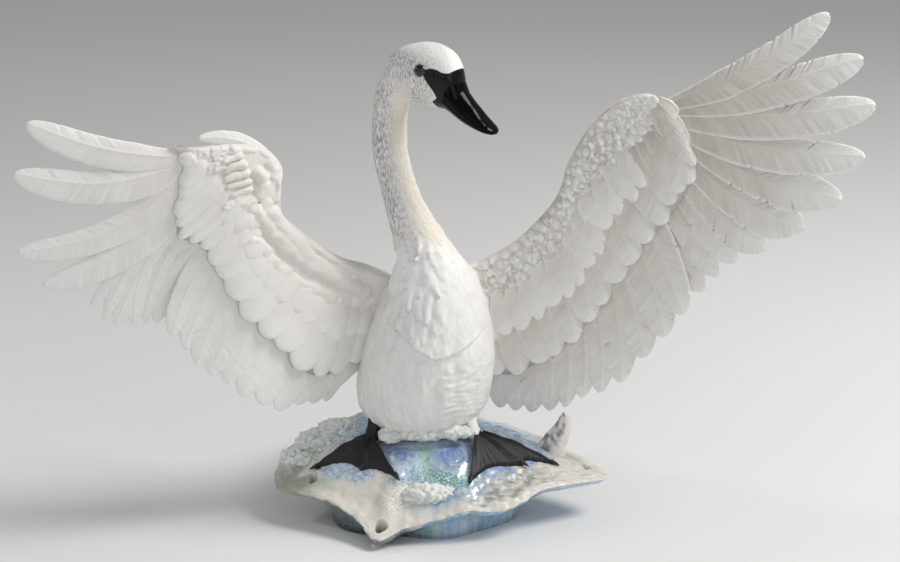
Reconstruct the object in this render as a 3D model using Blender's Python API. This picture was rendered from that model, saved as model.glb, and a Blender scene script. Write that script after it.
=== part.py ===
"""A porcelain swan rearing up with raised wings on a glazed wave, fired as one piece.

The swan faces -Y, X runs to the viewer's right and Z up. The origin is the middle of the flat foot
under the wave. Sizes are in millimetres, and MM turns them into metres when a mesh is made.
"""

import math

import bmesh
import bpy
from mathutils import Vector

MM = 0.001

# Wave base
FOOT_HALF_WIDTH = 78.0
FOOT_HALF_DEPTH = 60.0
FOOT_LOBE = 3.5
FOOT_LOBES = 5
CREST_HEIGHT = 74.0
CREST_BACK = 12.0
RIM_THICKNESS = 6.0
FOAM_RELIEF = 3.0
WALL_SHARE = 0.80
# Angle in degrees anticlockwise from +X, reach from the middle and height of the foam rim
RIM = [
    (0, 158, 32), (9, 147, 36), (22, 126, 45), (50, 98, 57), (90, 88, 62), (125, 90, 64),
    (146, 92, 62), (158, 108, 53), (169, 121, 44), (185, 122, 28), (197, 108, 30), (214, 88, 27),
    (234, 85, 18), (249, 96, 9), (260, 81, 15), (280, 77, 21), (300, 84, 28), (313, 93, 26),
    (326, 102, 30), (339, 111, 35), (350, 136, 35),
]
# How the water climbs from the rim to the crest: a flat shelf of foam, then a steep swell
SHELF_SHARE = 0.22
SWELL_POWER = 0.6
MOUND_AT = (4.0, -52.0)
HORN_AT = (110.0, 24.0, 55.0)
HORN_HALF = (18.0, 9.0, 28.0)
HORN_LEAN = (12.0, -3.0)
BASE_COLUMNS = 50
FOAM_INSIDE = 0.8
# Rows of the base's faces, counted from the foot, that are foam
FOAM_ROWS = (5, 6, 7)
RIM_HOLE_RADIUS = 4.5

# Body, as slices from the seat up to the root of the neck
BODY_HEIGHT = 165.0
BODY_HALF_WIDTH = 57.0
BODY_HALF_DEPTH = 60.0
BODY_SINK = 7.0
# Share of the height, share of the half width, share of the half depth, middle in X and Y
BODY_SLICES = [
    (0.00, 0.60, 0.50, 0, 20), (0.09, 0.85, 0.78, 1, 23), (0.18, 0.97, 0.94, 2, 24),
    (0.28, 1.00, 1.00, 4, 24), (0.42, 0.98, 1.00, 7, 21), (0.55, 0.90, 0.94, 9, 18),
    (0.67, 0.81, 0.84, 11, 15), (0.78, 0.68, 0.70, 12, 11), (0.88, 0.54, 0.55, 11, 8),
    (1.00, 0.36, 0.38, 7, 6),
]
BODY_COLUMNS = 26
BODY_FEATHER_ROWS = 12
BODY_RELIEF = 1.6

# Rump and tail behind the body
RUMP_LENGTH = 85.0
RUMP_RADIUS = 44.0
RUMP_DROP = 34.0
RUMP_START = (4.0, 40.0)
RUMP_RISE = 0.42
TAIL_LENGTH = 62.0
TAIL_HALF_WIDTH = 36.0
TAIL_THICKNESS = 5.0
TAIL_FEATHERS = 8

# Neck: radius and middle of each ring, measured from the root of the neck
NECK_RINGS = [
    (26.0, 0, 1, -16), (22.5, -4, 1, -4), (18.5, -13, 3, 16), (15.8, -20, 7, 33), (14.4, -26, 12, 52),
    (14.3, -31, 17, 72), (14.4, -32, 21, 92), (14.2, -31, 22, 110), (14.5, -28, 19, 126),
    (15.5, -20, 14, 138),
]
NECK_COLUMNS = 16
NECK_RELIEF = 0.55
NECK_SCALLOP = 0.09

# Head and bill, as rings square to the head: distance ahead of the nape, top, underside, half width
HEAD_FORWARD = (0.80, -0.52, -0.30)
NAPE_FROM_NECK = (-10.0, 7.0, 14.0)
HEAD_RINGS = [
    (0, 2, -3, 2), (3, 9, -10, 8.5), (10, 15.5, -17.5, 14), (20, 22, -22.5, 17.5),
    (32, 27, -24.5, 19.2), (46, 28.5, -23, 19), (57, 25.5, -20.5, 16), (65, 18, -19.2, 12.5),
    (71, 6, -18.5, 9),
]
HEAD_COLUMNS = 14
BILL_RINGS = [
    (58, 15, -18, 12.5), (68, 10.5, -19.6, 13.2), (75, 1.8, -21.2, 12), (83, -2.9, -22.4, 10.8),
    (94, -8.5, -22.2, 9.8), (103, -12.2, -21.2, 9.4), (109, -14.3, -20, 7), (112.5, -16.6, -18.2, 1.8),
]
BILL_COLUMNS = 12
# Ahead of the nape, up and to either side
EYE_AT = (40.3, 7.2, 16.3)
EYE_RADIUS = 4.4
# The black mask: rows of the head's faces from the nape, and the span of heights that it covers there
MASK_ROWS = {5: (0.0, 0.5), 6: (-0.8, 0.5), 7: (-1.0, 0.8)}

# Legs and webbed feet: ankle, then the tips of the outer, middle and inner toes, in X and Y
LEG_RADIUS = 8.0
FOOT_THICKNESS = 4.0
TOE_RADIUS = 3.2
LEFT_FOOT = [(-42, -10), (-88, -12), (-48, -30), (-18, -52)]
RIGHT_FOOT = [(46, -8), (112, -10), (86, -22), (42, -55)]
ANKLE_HEIGHT = 10.0

# Wings. Outline points are X outwards and Z from the origin, on a surface that folds at the wrist.
FEATHER_THICKNESS = 2.6
ARM_THICKNESS = 20.0
HAND_THICKNESS = 9.0
VANE_RELIEF = 1.5
COVERT_STEP = 2.2
SCALLOP = 11.0
TIP_CURL = 14.0
TRAIL_BACK = 0.06
PRIMARIES = 10
SHOULDER_BACK = 25.0
SHOULDER_OUT = 45.0
FOLD_BLEND = 22.0

LEFT_WRIST_OUT = 135.0
LEFT_ARM_SWEEP = 0.80
LEFT_HAND_SWEEP = 0.34
LEFT_LEAD = [
    (0, 18, 198), (2, 44, 211), (4, 68, 222), (7, 97, 249), (9, 112, 268), (11, 112, 290),
    (12, 111, 306), (14, 125, 323), (17, 148, 327), (20, 170, 326), (22, 180, 326),
]
LEFT_COVERTS = [
    (0, 40, 150), (2, 66, 124), (4, 92, 124), (6, 116, 156), (8, 140, 186), (10, 160, 222),
    (12, 173, 247), (14, 190, 256), (17, 189, 284), (19, 184, 303), (21, 187, 320), (22, 193, 330),
]
LEFT_TIPS = [
    (67, 107), (78, 95), (89, 96), (101, 98), (115, 96), (128, 104), (143, 114), (156, 127), (168, 135),
    (179, 145), (188, 160), (197, 172), (207, 181), (215, 181), (223, 180), (238, 181), (247, 187),
    (256, 200), (291, 220), (308, 248), (307, 311), (296, 350),
]
LEFT_GAPS = [
    (198, 193), (210, 194), (218, 191), (229, 189), (240, 194), (244, 206), (236, 230), (216, 262),
    (218, 284), (246, 314), (252, 341),
]

RIGHT_WRIST_OUT = 180.0
RIGHT_ARM_SWEEP = 0.12
RIGHT_HAND_SWEEP = 0.22
RIGHT_LEAD = [
    (0, 18, 196), (2, 56, 216), (4, 84, 235), (7, 112, 268), (9, 122, 298), (11, 136, 325),
    (12, 148, 338), (14, 163, 349), (17, 176, 356), (20, 184, 358), (22, 190, 357),
]
RIGHT_COVERTS = [
    (0, 48, 125), (2, 74, 113), (4, 106, 129), (6, 134, 153), (8, 156, 184), (10, 179, 222),
    (12, 204, 252), (14, 218, 277), (16, 226, 300), (18, 220, 314), (20, 208, 334), (22, 196, 353),
]
RIGHT_TIPS = [
    (56, 91), (68, 81), (81, 79), (94, 78), (110, 80), (123, 84), (137, 93), (152, 98), (169, 108),
    (188, 131), (204, 150), (219, 171), (234, 190), (245, 203), (258, 216), (282, 228), (312, 248),
    (341, 274), (357, 310), (363, 353), (352, 390), (324, 425),
]
RIGHT_GAPS = [
    (220, 192), (232, 207), (246, 215), (262, 228), (279, 245), (295, 270), (300, 296), (292, 324),
    (301, 355), (286, 378), (264, 390),
]

# The small blade on the leading edge at the wrist: X outwards, Z and half width along its middle
LEFT_ALULA = [(110, 302, 3), (115, 313, 5.5), (133, 326, 7), (154, 332, 7.5), (171, 332, 3)]
RIGHT_ALULA = [(139, 327, 4), (150, 337, 6.5), (166, 346, 7.5), (180, 353, 7), (189, 355, 3)]

WHITE = ("bisque_porcelain", (0.86, 0.86, 0.85, 1), 0.62)
BLACK = ("black_enamel", (0.008, 0.008, 0.009, 1), 0.16)
WEB = ("black_foot_glaze", (0.014, 0.014, 0.015, 1), 0.42)
SEA = ("sea_glaze", (0.16, 0.36, 0.48, 1), 0.20)
FOAM = ("foam_bisque", (0.84, 0.84, 0.80, 1), 0.55)


def clear_scene():
    for old in list(bpy.data.objects):
        bpy.data.objects.remove(old, do_unlink=True)


def material(kind):
    name, colour, roughness = kind
    found = bpy.data.materials.get(name)
    if found:
        return found
    made = bpy.data.materials.new(name)
    made.use_nodes = True
    shader = made.node_tree.nodes["Principled BSDF"]
    shader.inputs["Base Color"].default_value = colour
    shader.inputs["Roughness"].default_value = roughness
    made.diffuse_color = colour
    return made


def solid(name, points, faces, kind):
    """One closed mesh object from points in millimetres, with its faces turned outwards."""
    shape = bmesh.new()
    corners = [shape.verts.new(Vector(point) * MM) for point in points]
    for face in faces:
        shape.faces.new([corners[i] for i in face])
    bmesh.ops.recalc_face_normals(shape, faces=shape.faces)
    mesh = bpy.data.meshes.new(name)
    shape.to_mesh(mesh)
    shape.free()
    mesh.materials.append(material(kind))
    made = bpy.data.objects.new(name, mesh)
    bpy.context.scene.collection.objects.link(made)
    return made


def loft(name, rings, kind):
    """A closed skin over rings of points that all have the same number, with flat ends."""
    count = len(rings[0])
    points = [point for ring in rings for point in ring]
    faces = []
    for row in range(len(rings) - 1):
        for i in range(count):
            j = (i + 1) % count
            low, high = row * count, (row + 1) * count
            faces.append((low + i, low + j, high + j, high + i))
    faces.append(tuple(range(count)))
    faces.append(tuple(range(len(points) - count, len(points))))
    return solid(name, points, faces, kind)


def slab(name, top, bottom, kind):
    """A closed plate between two grids of points with the same rows and columns."""
    width = len(top[0])
    count = len(top) * width
    faces = []
    for row in range(len(top) - 1):
        for i in range(width - 1):
            a, b = row * width + i, row * width + i + 1
            c, d = b + width, a + width
            faces += [(a, b, c, d), (count + d, count + c, count + b, count + a)]
    rim = list(range(width))
    rim += [row * width + width - 1 for row in range(1, len(top))]
    rim += [count - width + i for i in range(width - 2, -1, -1)]
    rim += [row * width for row in range(len(top) - 2, 0, -1)]
    for a, b in zip(rim, rim[1:] + rim[:1]):
        faces.append((a, b, count + b, count + a))
    return solid(name, [p for row in top + bottom for p in row], faces, kind)


def between(a, b, share):
    return a + (b - a) * share


def mix(a, b, share):
    return tuple(between(p, q, share) for p, q in zip(a, b))


def soft_ramp(past):
    """Zero before a fold and the distance past it after, rounded over FOLD_BLEND each way."""
    if past <= -FOLD_BLEND:
        return 0.0
    if past >= FOLD_BLEND:
        return past
    return (past + FOLD_BLEND) ** 2 / (4 * FOLD_BLEND)


def curve_at(rows, place):
    """A smooth curve through rows of numbers, read at a place on their first column."""
    last = len(rows) - 1
    k = max(i for i in range(last) if rows[i][0] <= place or i == 0)
    before, start, end, after = (rows[min(max(k + step, 0), last)] for step in (-1, 0, 1, 2))
    t = (place - start[0]) / (end[0] - start[0])
    found = []
    for p0, p1, p2, p3 in zip(before[1:], start[1:], end[1:], after[1:]):
        found.append(
            0.5 * (2 * p1 + (p2 - p0) * t + (2 * p0 - 5 * p1 + 4 * p2 - p3) * t * t
                   + (3 * p1 - p0 - 3 * p2 + p3) * t ** 3)
        )
    return found


# Wave base

def rim_at(angle):
    """Reach and height of the foam rim at an angle in degrees."""
    rows = [(a - 360, r, z) for a, r, z in RIM[-2:]] + RIM + [(a + 360, r, z) for a, r, z in RIM[:2]]
    return curve_at(rows, angle % 360)


def foot_reach(angle):
    turn = math.radians(angle)
    oval = 1 / math.hypot(math.cos(turn) / FOOT_HALF_WIDTH, math.sin(turn) / FOOT_HALF_DEPTH)
    return oval + FOOT_LOBE * math.cos(FOOT_LOBES * turn)


def sea_place(x, y):
    """Share of the way from the crest to the rim, and the rim's height, over a point."""
    share = 0.5
    for _ in range(6):
        ahead = y - CREST_BACK * (1 - share)
        reach, height = rim_at(math.degrees(math.atan2(ahead, x)))
        share = min(1.0, math.hypot(x, ahead) / reach)
    return share, height


def sea_height(x, y):
    """Height of the water under a point, rising from the shelf of foam to the crest."""
    share, height = sea_place(x, y)
    rise = 1 - share
    swell = rise ** SWELL_POWER * (1 - math.exp(-(rise / SHELF_SHARE) ** 2))
    return height + (CREST_HEIGHT - height) * swell


def base():
    """Rings from the middle of the foot out over the wall, round the rim and in to the crest."""
    rings = []
    angles = [360 * i / BASE_COLUMNS for i in range(BASE_COLUMNS)]

    def ring(reach_of, height_of, back=0.0):
        points = []
        for i, angle in enumerate(angles):
            turn = math.radians(angle)
            reach = reach_of(i, angle)
            points.append((reach * math.cos(turn), back + reach * math.sin(turn), height_of(i, angle)))
        rings.append(points)

    def ruffle(i):
        return FOAM_RELIEF * (math.sin(2.1 * i) + 0.6 * math.sin(3.7 * i + 1))

    def under(a):
        return max(3.0, rim_at(a)[1] - RIM_THICKNESS)

    ring(lambda i, a: foot_reach(a) * 0.5, lambda i, a: 0.0)
    ring(lambda i, a: foot_reach(a), lambda i, a: 0.0)
    ring(lambda i, a: between(foot_reach(a), rim_at(a)[0] * WALL_SHARE, 0.1), lambda i, a: under(a) * 0.3)
    ring(lambda i, a: between(foot_reach(a), rim_at(a)[0] * WALL_SHARE, 0.55),
         lambda i, a: under(a) * 0.75)
    ring(lambda i, a: rim_at(a)[0] * 0.93, lambda i, a: under(a) + 1)
    ring(lambda i, a: rim_at(a)[0] + 0.6 * ruffle(i), lambda i, a: rim_at(a)[1])
    ring(lambda i, a: rim_at(a)[0] * 0.94, lambda i, a: rim_at(a)[1] + RIM_THICKNESS * 0.6 + ruffle(i))
    for share in (0.85, 0.74, 0.58, 0.4, 0.2):
        points = []
        for i, angle in enumerate(angles):
            turn = math.radians(angle)
            reach = rim_at(angle)[0] * share
            x, y = reach * math.cos(turn), CREST_BACK * (1 - share) + reach * math.sin(turn)
            lump = 3 + 0.6 * ruffle(i + 3) if share > FOAM_INSIDE else 0.0
            points.append((x, y, sea_height(x, y) + lump))
        rings.append(points)
    made = loft("base", rings, SEA)
    made.data.materials.append(material(FOAM))
    for face in made.data.polygons:
        if face.index // BASE_COLUMNS in FOAM_ROWS:
            face.material_index = 1
    return made


def blob(name, middle, half, kind, columns=10, rows=6, lean=(0, 0), point=0.0):
    """A lumpy egg, for foam mounds and crests, drawn out to a point above by the given share."""
    rings = []
    for row in range(1, rows):
        around = math.pi * row / rows
        high = -math.cos(around)
        ring = []
        for i in range(columns):
            turn = 2 * math.pi * i / columns
            wide = math.sin(around) * (1 + 0.12 * math.sin(3 * turn + 2 * row))
            wide *= 1 - point * max(0.0, high)
            ring.append((
                middle[0] + half[0] * wide * math.cos(turn) + lean[0] * (high + 1) / 2,
                middle[1] + half[1] * wide * math.sin(turn) + lean[1] * (high + 1) / 2,
                middle[2] + half[2] * high,
            ))
        rings.append(ring)
    return loft(name, rings, kind)


def foam():
    """The foam crest under the breast, the mound in front and the curling horn at the right."""
    return [
        blob("crest", (4, 6, CREST_HEIGHT - 4), (46, 26, 9), FOAM),
        blob("mound", (*MOUND_AT, sea_height(*MOUND_AT) + 1), (19, 9, 7), FOAM),
        blob("horn", HORN_AT, HORN_HALF, FOAM, lean=HORN_LEAN, point=0.7),
        blob("left_swell", (-17, -24, sea_height(-17, -24)), (14, 11, 6), SEA),
        blob("right_swell", (25, -24, sea_height(25, -24)), (15, 11, 6), SEA),
    ]


def rim_cutters():
    """Round holes that the foam leaves through the rim."""
    cutters = []
    for name, angle, share in (("front", 251, 0.80), ("left", 176, 0.84), ("right", 359, 0.88)):
        reach, height = rim_at(angle)
        turn = math.radians(angle)
        x, y = reach * share * math.cos(turn), reach * share * math.sin(turn)
        low, high = height - 30, height + 30
        rings = []
        for z in (low, high):
            rings.append([
                (x + RIM_HOLE_RADIUS * math.cos(math.tau * i / 10),
                 y + RIM_HOLE_RADIUS * math.sin(math.tau * i / 10), z)
                for i in range(10)
            ])
        cutters.append(loft(f"{name}_hole", rings, FOAM))
    return cutters


# Body, rump and tail

def neck_root():
    x, y = BODY_SLICES[-1][3], BODY_SLICES[-1][4]
    return Vector((x, y, CREST_HEIGHT - BODY_SINK + BODY_HEIGHT))


def body():
    """Slices up the body. Each row of feathers stands out at its lower end, in scallops."""
    rings = []
    seat = CREST_HEIGHT - BODY_SINK
    for row in range(2 * BODY_FEATHER_ROWS + 1):
        end = 0 < row < 2 * BODY_FEATHER_ROWS
        share = (row + (0.55 if row % 2 and end else 0)) / (2 * BODY_FEATHER_ROWS)
        ring = []
        for i in range(BODY_COLUMNS):
            turn = math.tau * i / BODY_COLUMNS
            shift = 0.35 / BODY_FEATHER_ROWS * (-1) ** (i + row // 2) if end else 0
            wide, deep, x, y = curve_at(BODY_SLICES, min(max(share + shift * 0.5, 0), 1))
            out = BODY_RELIEF * (0.5 if row % 2 == 0 else -0.5) if end else 0
            ring.append((
                x + (wide * BODY_HALF_WIDTH + out) * math.cos(turn),
                y + (deep * BODY_HALF_DEPTH + out) * math.sin(turn),
                seat + BODY_HEIGHT * (share + shift * 0.5),
            ))
        rings.append(ring)
    return loft("body", rings, WHITE)


def rump():
    rings = []
    start = Vector((*RUMP_START, CREST_HEIGHT + RUMP_RISE * BODY_HEIGHT))
    for share, size in ((0.0, 0.9), (0.25, 1.0), (0.5, 0.92), (0.75, 0.70), (0.93, 0.42), (1.0, 0.22)):
        middle = start + Vector((0, RUMP_LENGTH * share, -RUMP_DROP * share ** 1.3))
        rings.append([
            (middle.x + RUMP_RADIUS * size * math.cos(math.tau * i / 16),
             middle.y,
             middle.z + RUMP_RADIUS * size * math.sin(math.tau * i / 16))
            for i in range(16)
        ])
    return loft("rump", rings, WHITE)


def tail():
    """A short fan of broad feathers, ridged along each one."""
    start = Vector((*RUMP_START, CREST_HEIGHT + RUMP_RISE * BODY_HEIGHT))
    start += Vector((0, RUMP_LENGTH * 0.72, -RUMP_DROP * 0.75))
    columns = 2 * TAIL_FEATHERS + 1
    top, bottom = [], []
    for share in (0.0, 0.4, 0.8, 1.0):
        upper, lower = [], []
        for i in range(columns):
            side = 2 * i / (columns - 1) - 1
            ridge = 1.2 if i % 2 else -0.6
            reach = TAIL_LENGTH * share * (1 - 0.22 * side * side)
            reach -= 5 * share if i % 2 == 0 else 0
            width = TAIL_HALF_WIDTH * (0.55 + 0.45 * share) * side
            thick = TAIL_THICKNESS * (1 - 0.45 * share) / 2
            z = start.z - 0.28 * reach - 7 * side * side
            upper.append((start.x + width, start.y + reach, z + thick + ridge))
            lower.append((start.x + width, start.y + reach, z - thick + ridge * 0.4))
        top.append(upper)
        bottom.append(lower)
    return slab("tail", top, bottom, WHITE)


# Neck, head and bill

def cross_axes(forward):
    """Sideways and upward directions square to a direction."""
    side = forward.cross(Vector((0, 0, 1))).normalized()
    return side, side.cross(forward).normalized()


def neck():
    """Rings up the neck, in rows of small feathers that stand out at their lower ends."""
    root = neck_root()
    table = [(k, *ring) for k, ring in enumerate(NECK_RINGS)]
    last = len(NECK_RINGS) - 1
    rings = []
    for row in range(2 * last + 1):
        end = 0 < row < 2 * last
        ring = []
        for i in range(NECK_COLUMNS):
            shift = NECK_SCALLOP * (-1) ** (i + row // 2) if end else 0
            place = row / 2 + (0.25 if row % 2 else 0) + shift
            radius, *middle = curve_at(table, place)
            ahead = Vector(curve_at(table, place + 0.1)[1:]) - Vector(curve_at(table, place - 0.1)[1:])
            ahead.normalize()
            side = ahead.cross(Vector((0, 1, 0))).normalized()
            turn = math.tau * i / NECK_COLUMNS
            radius += NECK_RELIEF * (-1) ** row if end else 0
            out = side * math.cos(turn) + side.cross(ahead) * math.sin(turn)
            ring.append(root + Vector(middle) + out * radius)
        rings.append(ring)
    return loft("neck", rings, WHITE)


def head_frame():
    """Nape point and the head's forward, side and up directions."""
    top = neck_root() + Vector(NECK_RINGS[-1][1:])
    forward = Vector(HEAD_FORWARD).normalized()
    side, up = cross_axes(forward)
    return top + Vector(NAPE_FROM_NECK), forward, side, up


def head_point(ahead, up, side):
    nape, forward, across, rise = head_frame()
    return nape + forward * ahead + rise * up + across * side


def profile(name, table, columns, kind):
    """A loft of ovals square to the head, from a table of top, underside and half width."""
    rings = []
    for ahead, top, under, wide in table:
        ring = []
        for i in range(columns):
            turn = math.tau * i / columns
            up = (top + under) / 2 + (top - under) / 2 * math.sin(turn)
            ring.append(head_point(ahead, up, wide * math.cos(turn)))
        rings.append(ring)
    return loft(name, rings, kind)


def head():
    """The white head, with the black mask on its faces between the eye and the bill."""
    made = profile("head", HEAD_RINGS, HEAD_COLUMNS, WHITE)
    made.data.materials.append(material(BLACK))
    for face in made.data.polygons:
        row, i = divmod(face.index, HEAD_COLUMNS)
        low, high = MASK_ROWS.get(row, (1, 1))
        if low < math.sin(math.tau * (i + 0.5) / HEAD_COLUMNS) < high:
            face.material_index = 1
    return made


def eyes():
    ahead, up, side = EYE_AT
    made = []
    for name, way in (("left", -1), ("right", 1)):
        at = head_point(ahead, up, way * side)
        made.append(blob(f"{name}_eye", at, (EYE_RADIUS,) * 3, BLACK, columns=8, rows=6))
    return made


def bill():
    return profile("bill", BILL_RINGS, BILL_COLUMNS, BLACK)


# Legs and webbed feet

def foot(name, marks):
    """A web spread between three toes over the water, with the toes as ridges along it."""
    ankle = marks[0]
    outer, middle, inner = marks[1:]
    edge = []
    for a, b in ((outer, middle), (middle, inner)):
        mid = mix(mix(a, b, 0.5), ankle, 0.16)
        edge += [a, mid]
    edge.append(inner)
    top, bottom = [], []
    start = sea_height(*ankle) + ANKLE_HEIGHT
    for share in (0.0, 0.34, 0.68, 1.0):
        upper, lower = [], []
        for i, mark in enumerate(edge):
            x, y = mix(ankle, mark, 0.12 + 0.88 * share)
            ridge = TOE_RADIUS if i % 2 == 0 else 0.0
            ground = sea_height(x, y)
            z = between(start, ground + FOOT_THICKNESS, min(1, share * 1.5)) + ridge * (1 - 0.6 * share)
            upper.append((x, y, z))
            lower.append((x, y, ground - 5))
        top.append(upper)
        bottom.append(lower)
    return slab(name, top, bottom, WEB)


def leg(name, ankle):
    x, y = ankle
    seat = CREST_HEIGHT - BODY_SINK
    rings = []
    for share, size in ((0, 0.9), (0.35, 0.75), (0.7, 1.0), (1, 1.5)):
        middle = mix((x, y, sea_height(x, y) - 4), (x * 0.8, 12, seat + 26), share)
        rings.append([
            (middle[0] + LEG_RADIUS * size * math.cos(math.tau * i / 10),
             middle[1] + LEG_RADIUS * size * math.sin(math.tau * i / 10), middle[2])
            for i in range(10)
        ])
    return loft(name, rings, WHITE)


# Wings

VANE_TOP = ((0.0, 0.0), (0.14, 1.0), (0.5, 0.75), (0.82, 0.35), (1.0, 0.0))
VANE_BACK = ((0.0, 0.0), (0.8, 1.0), (1.0, 0.0))
FINGER_ROWS = ((0.3, 0.93), (0.62, 0.79), (0.87, 0.5), (1.0, 0.18))
FINGER_SQUARING = 0.75


class Wing:
    """One wing as a row of feather strips from the body out to the first primary.

    Each strip runs from the leading edge, under the coverts, to its own tip. Neighbours share their
    edge as far as the gap between them, and past it each feather stands free.
    """

    def __init__(self, name, side, lead, coverts, tips, gaps, wrist_out, arm_sweep, hand_sweep):
        self.name = name
        self.side = side
        self.lead = lead
        self.coverts = coverts
        self.tips = tips
        self.wrist_out = wrist_out
        self.arm_sweep = arm_sweep
        self.hand_sweep = hand_sweep
        self.count = len(tips)
        self.gaps = self.all_gaps(gaps)
        self.points = []
        self.faces = []

    def all_gaps(self, primary_gaps):
        """Where neighbouring feathers part: measured on the hand, a scallop's depth in on the arm."""
        arm = self.count - PRIMARIES
        gaps = []
        for i in range(arm):
            tip = self.tips[0] if i == 0 else mix(self.tips[i - 1], self.tips[i], 0.5)
            cover = curve_at(self.coverts, i)
            length = math.dist(tip, cover)
            gaps.append(mix(tip, cover, min(0.7, SCALLOP / max(length, 1.0))))
        return gaps + list(primary_gaps)

    def depth(self, x):
        """Y of the middle surface, which folds smoothly at the shoulder and again at the wrist."""
        arm = soft_ramp(x - SHOULDER_OUT)
        hand = soft_ramp(x - self.wrist_out)
        return SHOULDER_BACK - self.arm_sweep * arm + (self.arm_sweep - self.hand_sweep) * hand

    def surface(self, x, z, lift, curl=0.0):
        """The point lift in front of the wing's middle surface, at X outwards and Z."""
        y = self.depth(x) + curl
        y += TRAIL_BACK * max(0.0, curve_at(self.lead, self.count / 2)[1] - z)
        slope = (self.depth(x - 1) - self.depth(x + 1)) / 2
        size = math.hypot(slope, 1)
        return (self.side * (x - slope * lift / size), y - lift / size, z)

    def bulk(self, boundary, share):
        """Thickness of arm or hand in front, at a share of the way from leading edge to coverts."""
        arm = self.count - PRIMARIES
        full = between(ARM_THICKNESS, HAND_THICKNESS, min(1.0, boundary / arm))
        return full * 0.5 * math.sin(math.pi * min(1.0, 0.12 + share * 0.62) ** 0.6) * (1 - 0.75 * share)

    def add(self, point):
        self.points.append(point)
        return len(self.points) - 1

    def row_points(self, row, front):
        """Places on one row across all the strips: boundary, columns inside, boundary and so on."""
        columns = VANE_TOP if front else VANE_BACK
        kind, share, step = row
        made = []
        for i in range(self.count + 1):
            made.append(self.place(i, 0.0, 0.0, kind, share, step, front))
            if i < self.count:
                for across, high in columns[1:-1]:
                    made.append(self.place(i, across, high, kind, share, step, front))
        return made

    def place(self, i, across, high, kind, share, step, front):
        at = i + across
        lead, cover = curve_at(self.lead, at), curve_at(self.coverts, at)
        if kind == "arm":
            bow = 0.07 * math.sin(math.pi * across) if 0 < share else 0
            spot = mix(lead, cover, share + bow)
            lift = self.bulk(at, share) + step
        else:
            left = mix(curve_at(self.coverts, i), self.gaps[i], share)
            right = mix(curve_at(self.coverts, min(i + 1, self.count)), self.gaps[min(i + 1, self.count)], share)
            spot = mix(left, right, across)
            lift = step
        relief = VANE_RELIEF * high
        if front:
            return self.surface(*spot, FEATHER_THICKNESS / 2 + lift + relief)
        return self.surface(*spot, -FEATHER_THICKNESS / 2 - 0.45 * lift - relief)

    def finger(self, i, share, width, front):
        """Points across one free feather past its gaps."""
        left, right = self.gaps[i], self.gaps[i + 1]
        root = mix(left, right, 0.5)
        tip = self.tips[i]
        along = Vector((tip[0] - root[0], tip[1] - root[1]))
        square = Vector((-along.y, along.x)).normalized()
        across_root = Vector((right[0] - left[0], right[1] - left[1]))
        if square.dot(across_root) < 0:
            square.negate()
        level = square * square.dot(across_root)
        half = between(across_root, level, FINGER_SQUARING * share) * 0.5 * width
        primary = i >= self.count - PRIMARIES
        curl = TIP_CURL * share * share if primary else 0.25 * TIP_CURL * share * share
        made = []
        for across, high in VANE_TOP if front else VANE_BACK:
            x = root[0] + along.x * share + half.x * (2 * across - 1)
            z = root[1] + along.y * share + half.y * (2 * across - 1)
            lift = FEATHER_THICKNESS / 2 * (1 - 0.4 * share) + VANE_RELIEF * high * (1 - 0.5 * share)
            made.append(self.surface(x, z, lift if front else -lift, curl))
        return made

    def side_faces(self, front):
        """The skin of one side, and the indices along its leading edge, ends and free edges."""
        step = COVERT_STEP
        if front:
            rows = [("arm", 0.14, 0.0), ("arm", 0.44, 1.3 * step), ("arm", 0.5, 0.4 * step),
                    ("arm", 0.93, 1.1 * step), ("arm", 1.0, 0.0), ("vane", 1.0, 0.0)]
        else:
            rows = [("arm", 0.14, 0.0), ("arm", 0.93, step), ("arm", 1.0, 0.0), ("vane", 1.0, 0.0)]
        columns = len(VANE_TOP if front else VANE_BACK) - 1
        grid = [[self.add(point) for point in self.row_points(row, front)] for row in rows]
        for low, high in zip(grid, grid[1:]):
            for k in range(len(low) - 1):
                self.faces.append((low[k], low[k + 1], high[k + 1], high[k]))
        fingers = []
        for i in range(self.count):
            previous = grid[-1][i * columns:(i + 1) * columns + 1]
            strip = [previous]
            for share, width in FINGER_ROWS:
                current = [self.add(point) for point in self.finger(i, share, width, front)]
                for k in range(columns):
                    self.faces.append((previous[k], previous[k + 1], current[k + 1], current[k]))
                strip.append(current)
                previous = current
            fingers.append(strip)
        return grid, fingers, columns

    def build(self):
        lead = []
        for i in range(self.count + 1):
            lead.append(self.add(self.surface(*curve_at(self.lead, i), 0.0)))
        front, front_fingers, wide = self.side_faces(True)
        back, back_fingers, narrow = self.side_faces(False)
        for i in range(self.count):
            self.faces.append((lead[i], lead[i + 1], *front[0][i * wide:(i + 1) * wide + 1][::-1]))
            self.faces.append((lead[i], lead[i + 1], *back[0][i * narrow:(i + 1) * narrow + 1][::-1]))
            ahead, behind = front_fingers[i], back_fingers[i]
            for row in range(len(FINGER_ROWS)):
                for k, j in ((0, 0), (wide, narrow)):
                    self.faces.append((ahead[row][k], ahead[row + 1][k], behind[row + 1][j], behind[row][j]))
            self.faces.append((*ahead[-1], *behind[-1][::-1]))
        for end in (0, -1):
            edge = [row[end] for row in front] + [row[end] for row in back][::-1]
            self.faces.append((lead[end], *edge))
        return solid(self.name, self.points, self.faces, WHITE)

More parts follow.
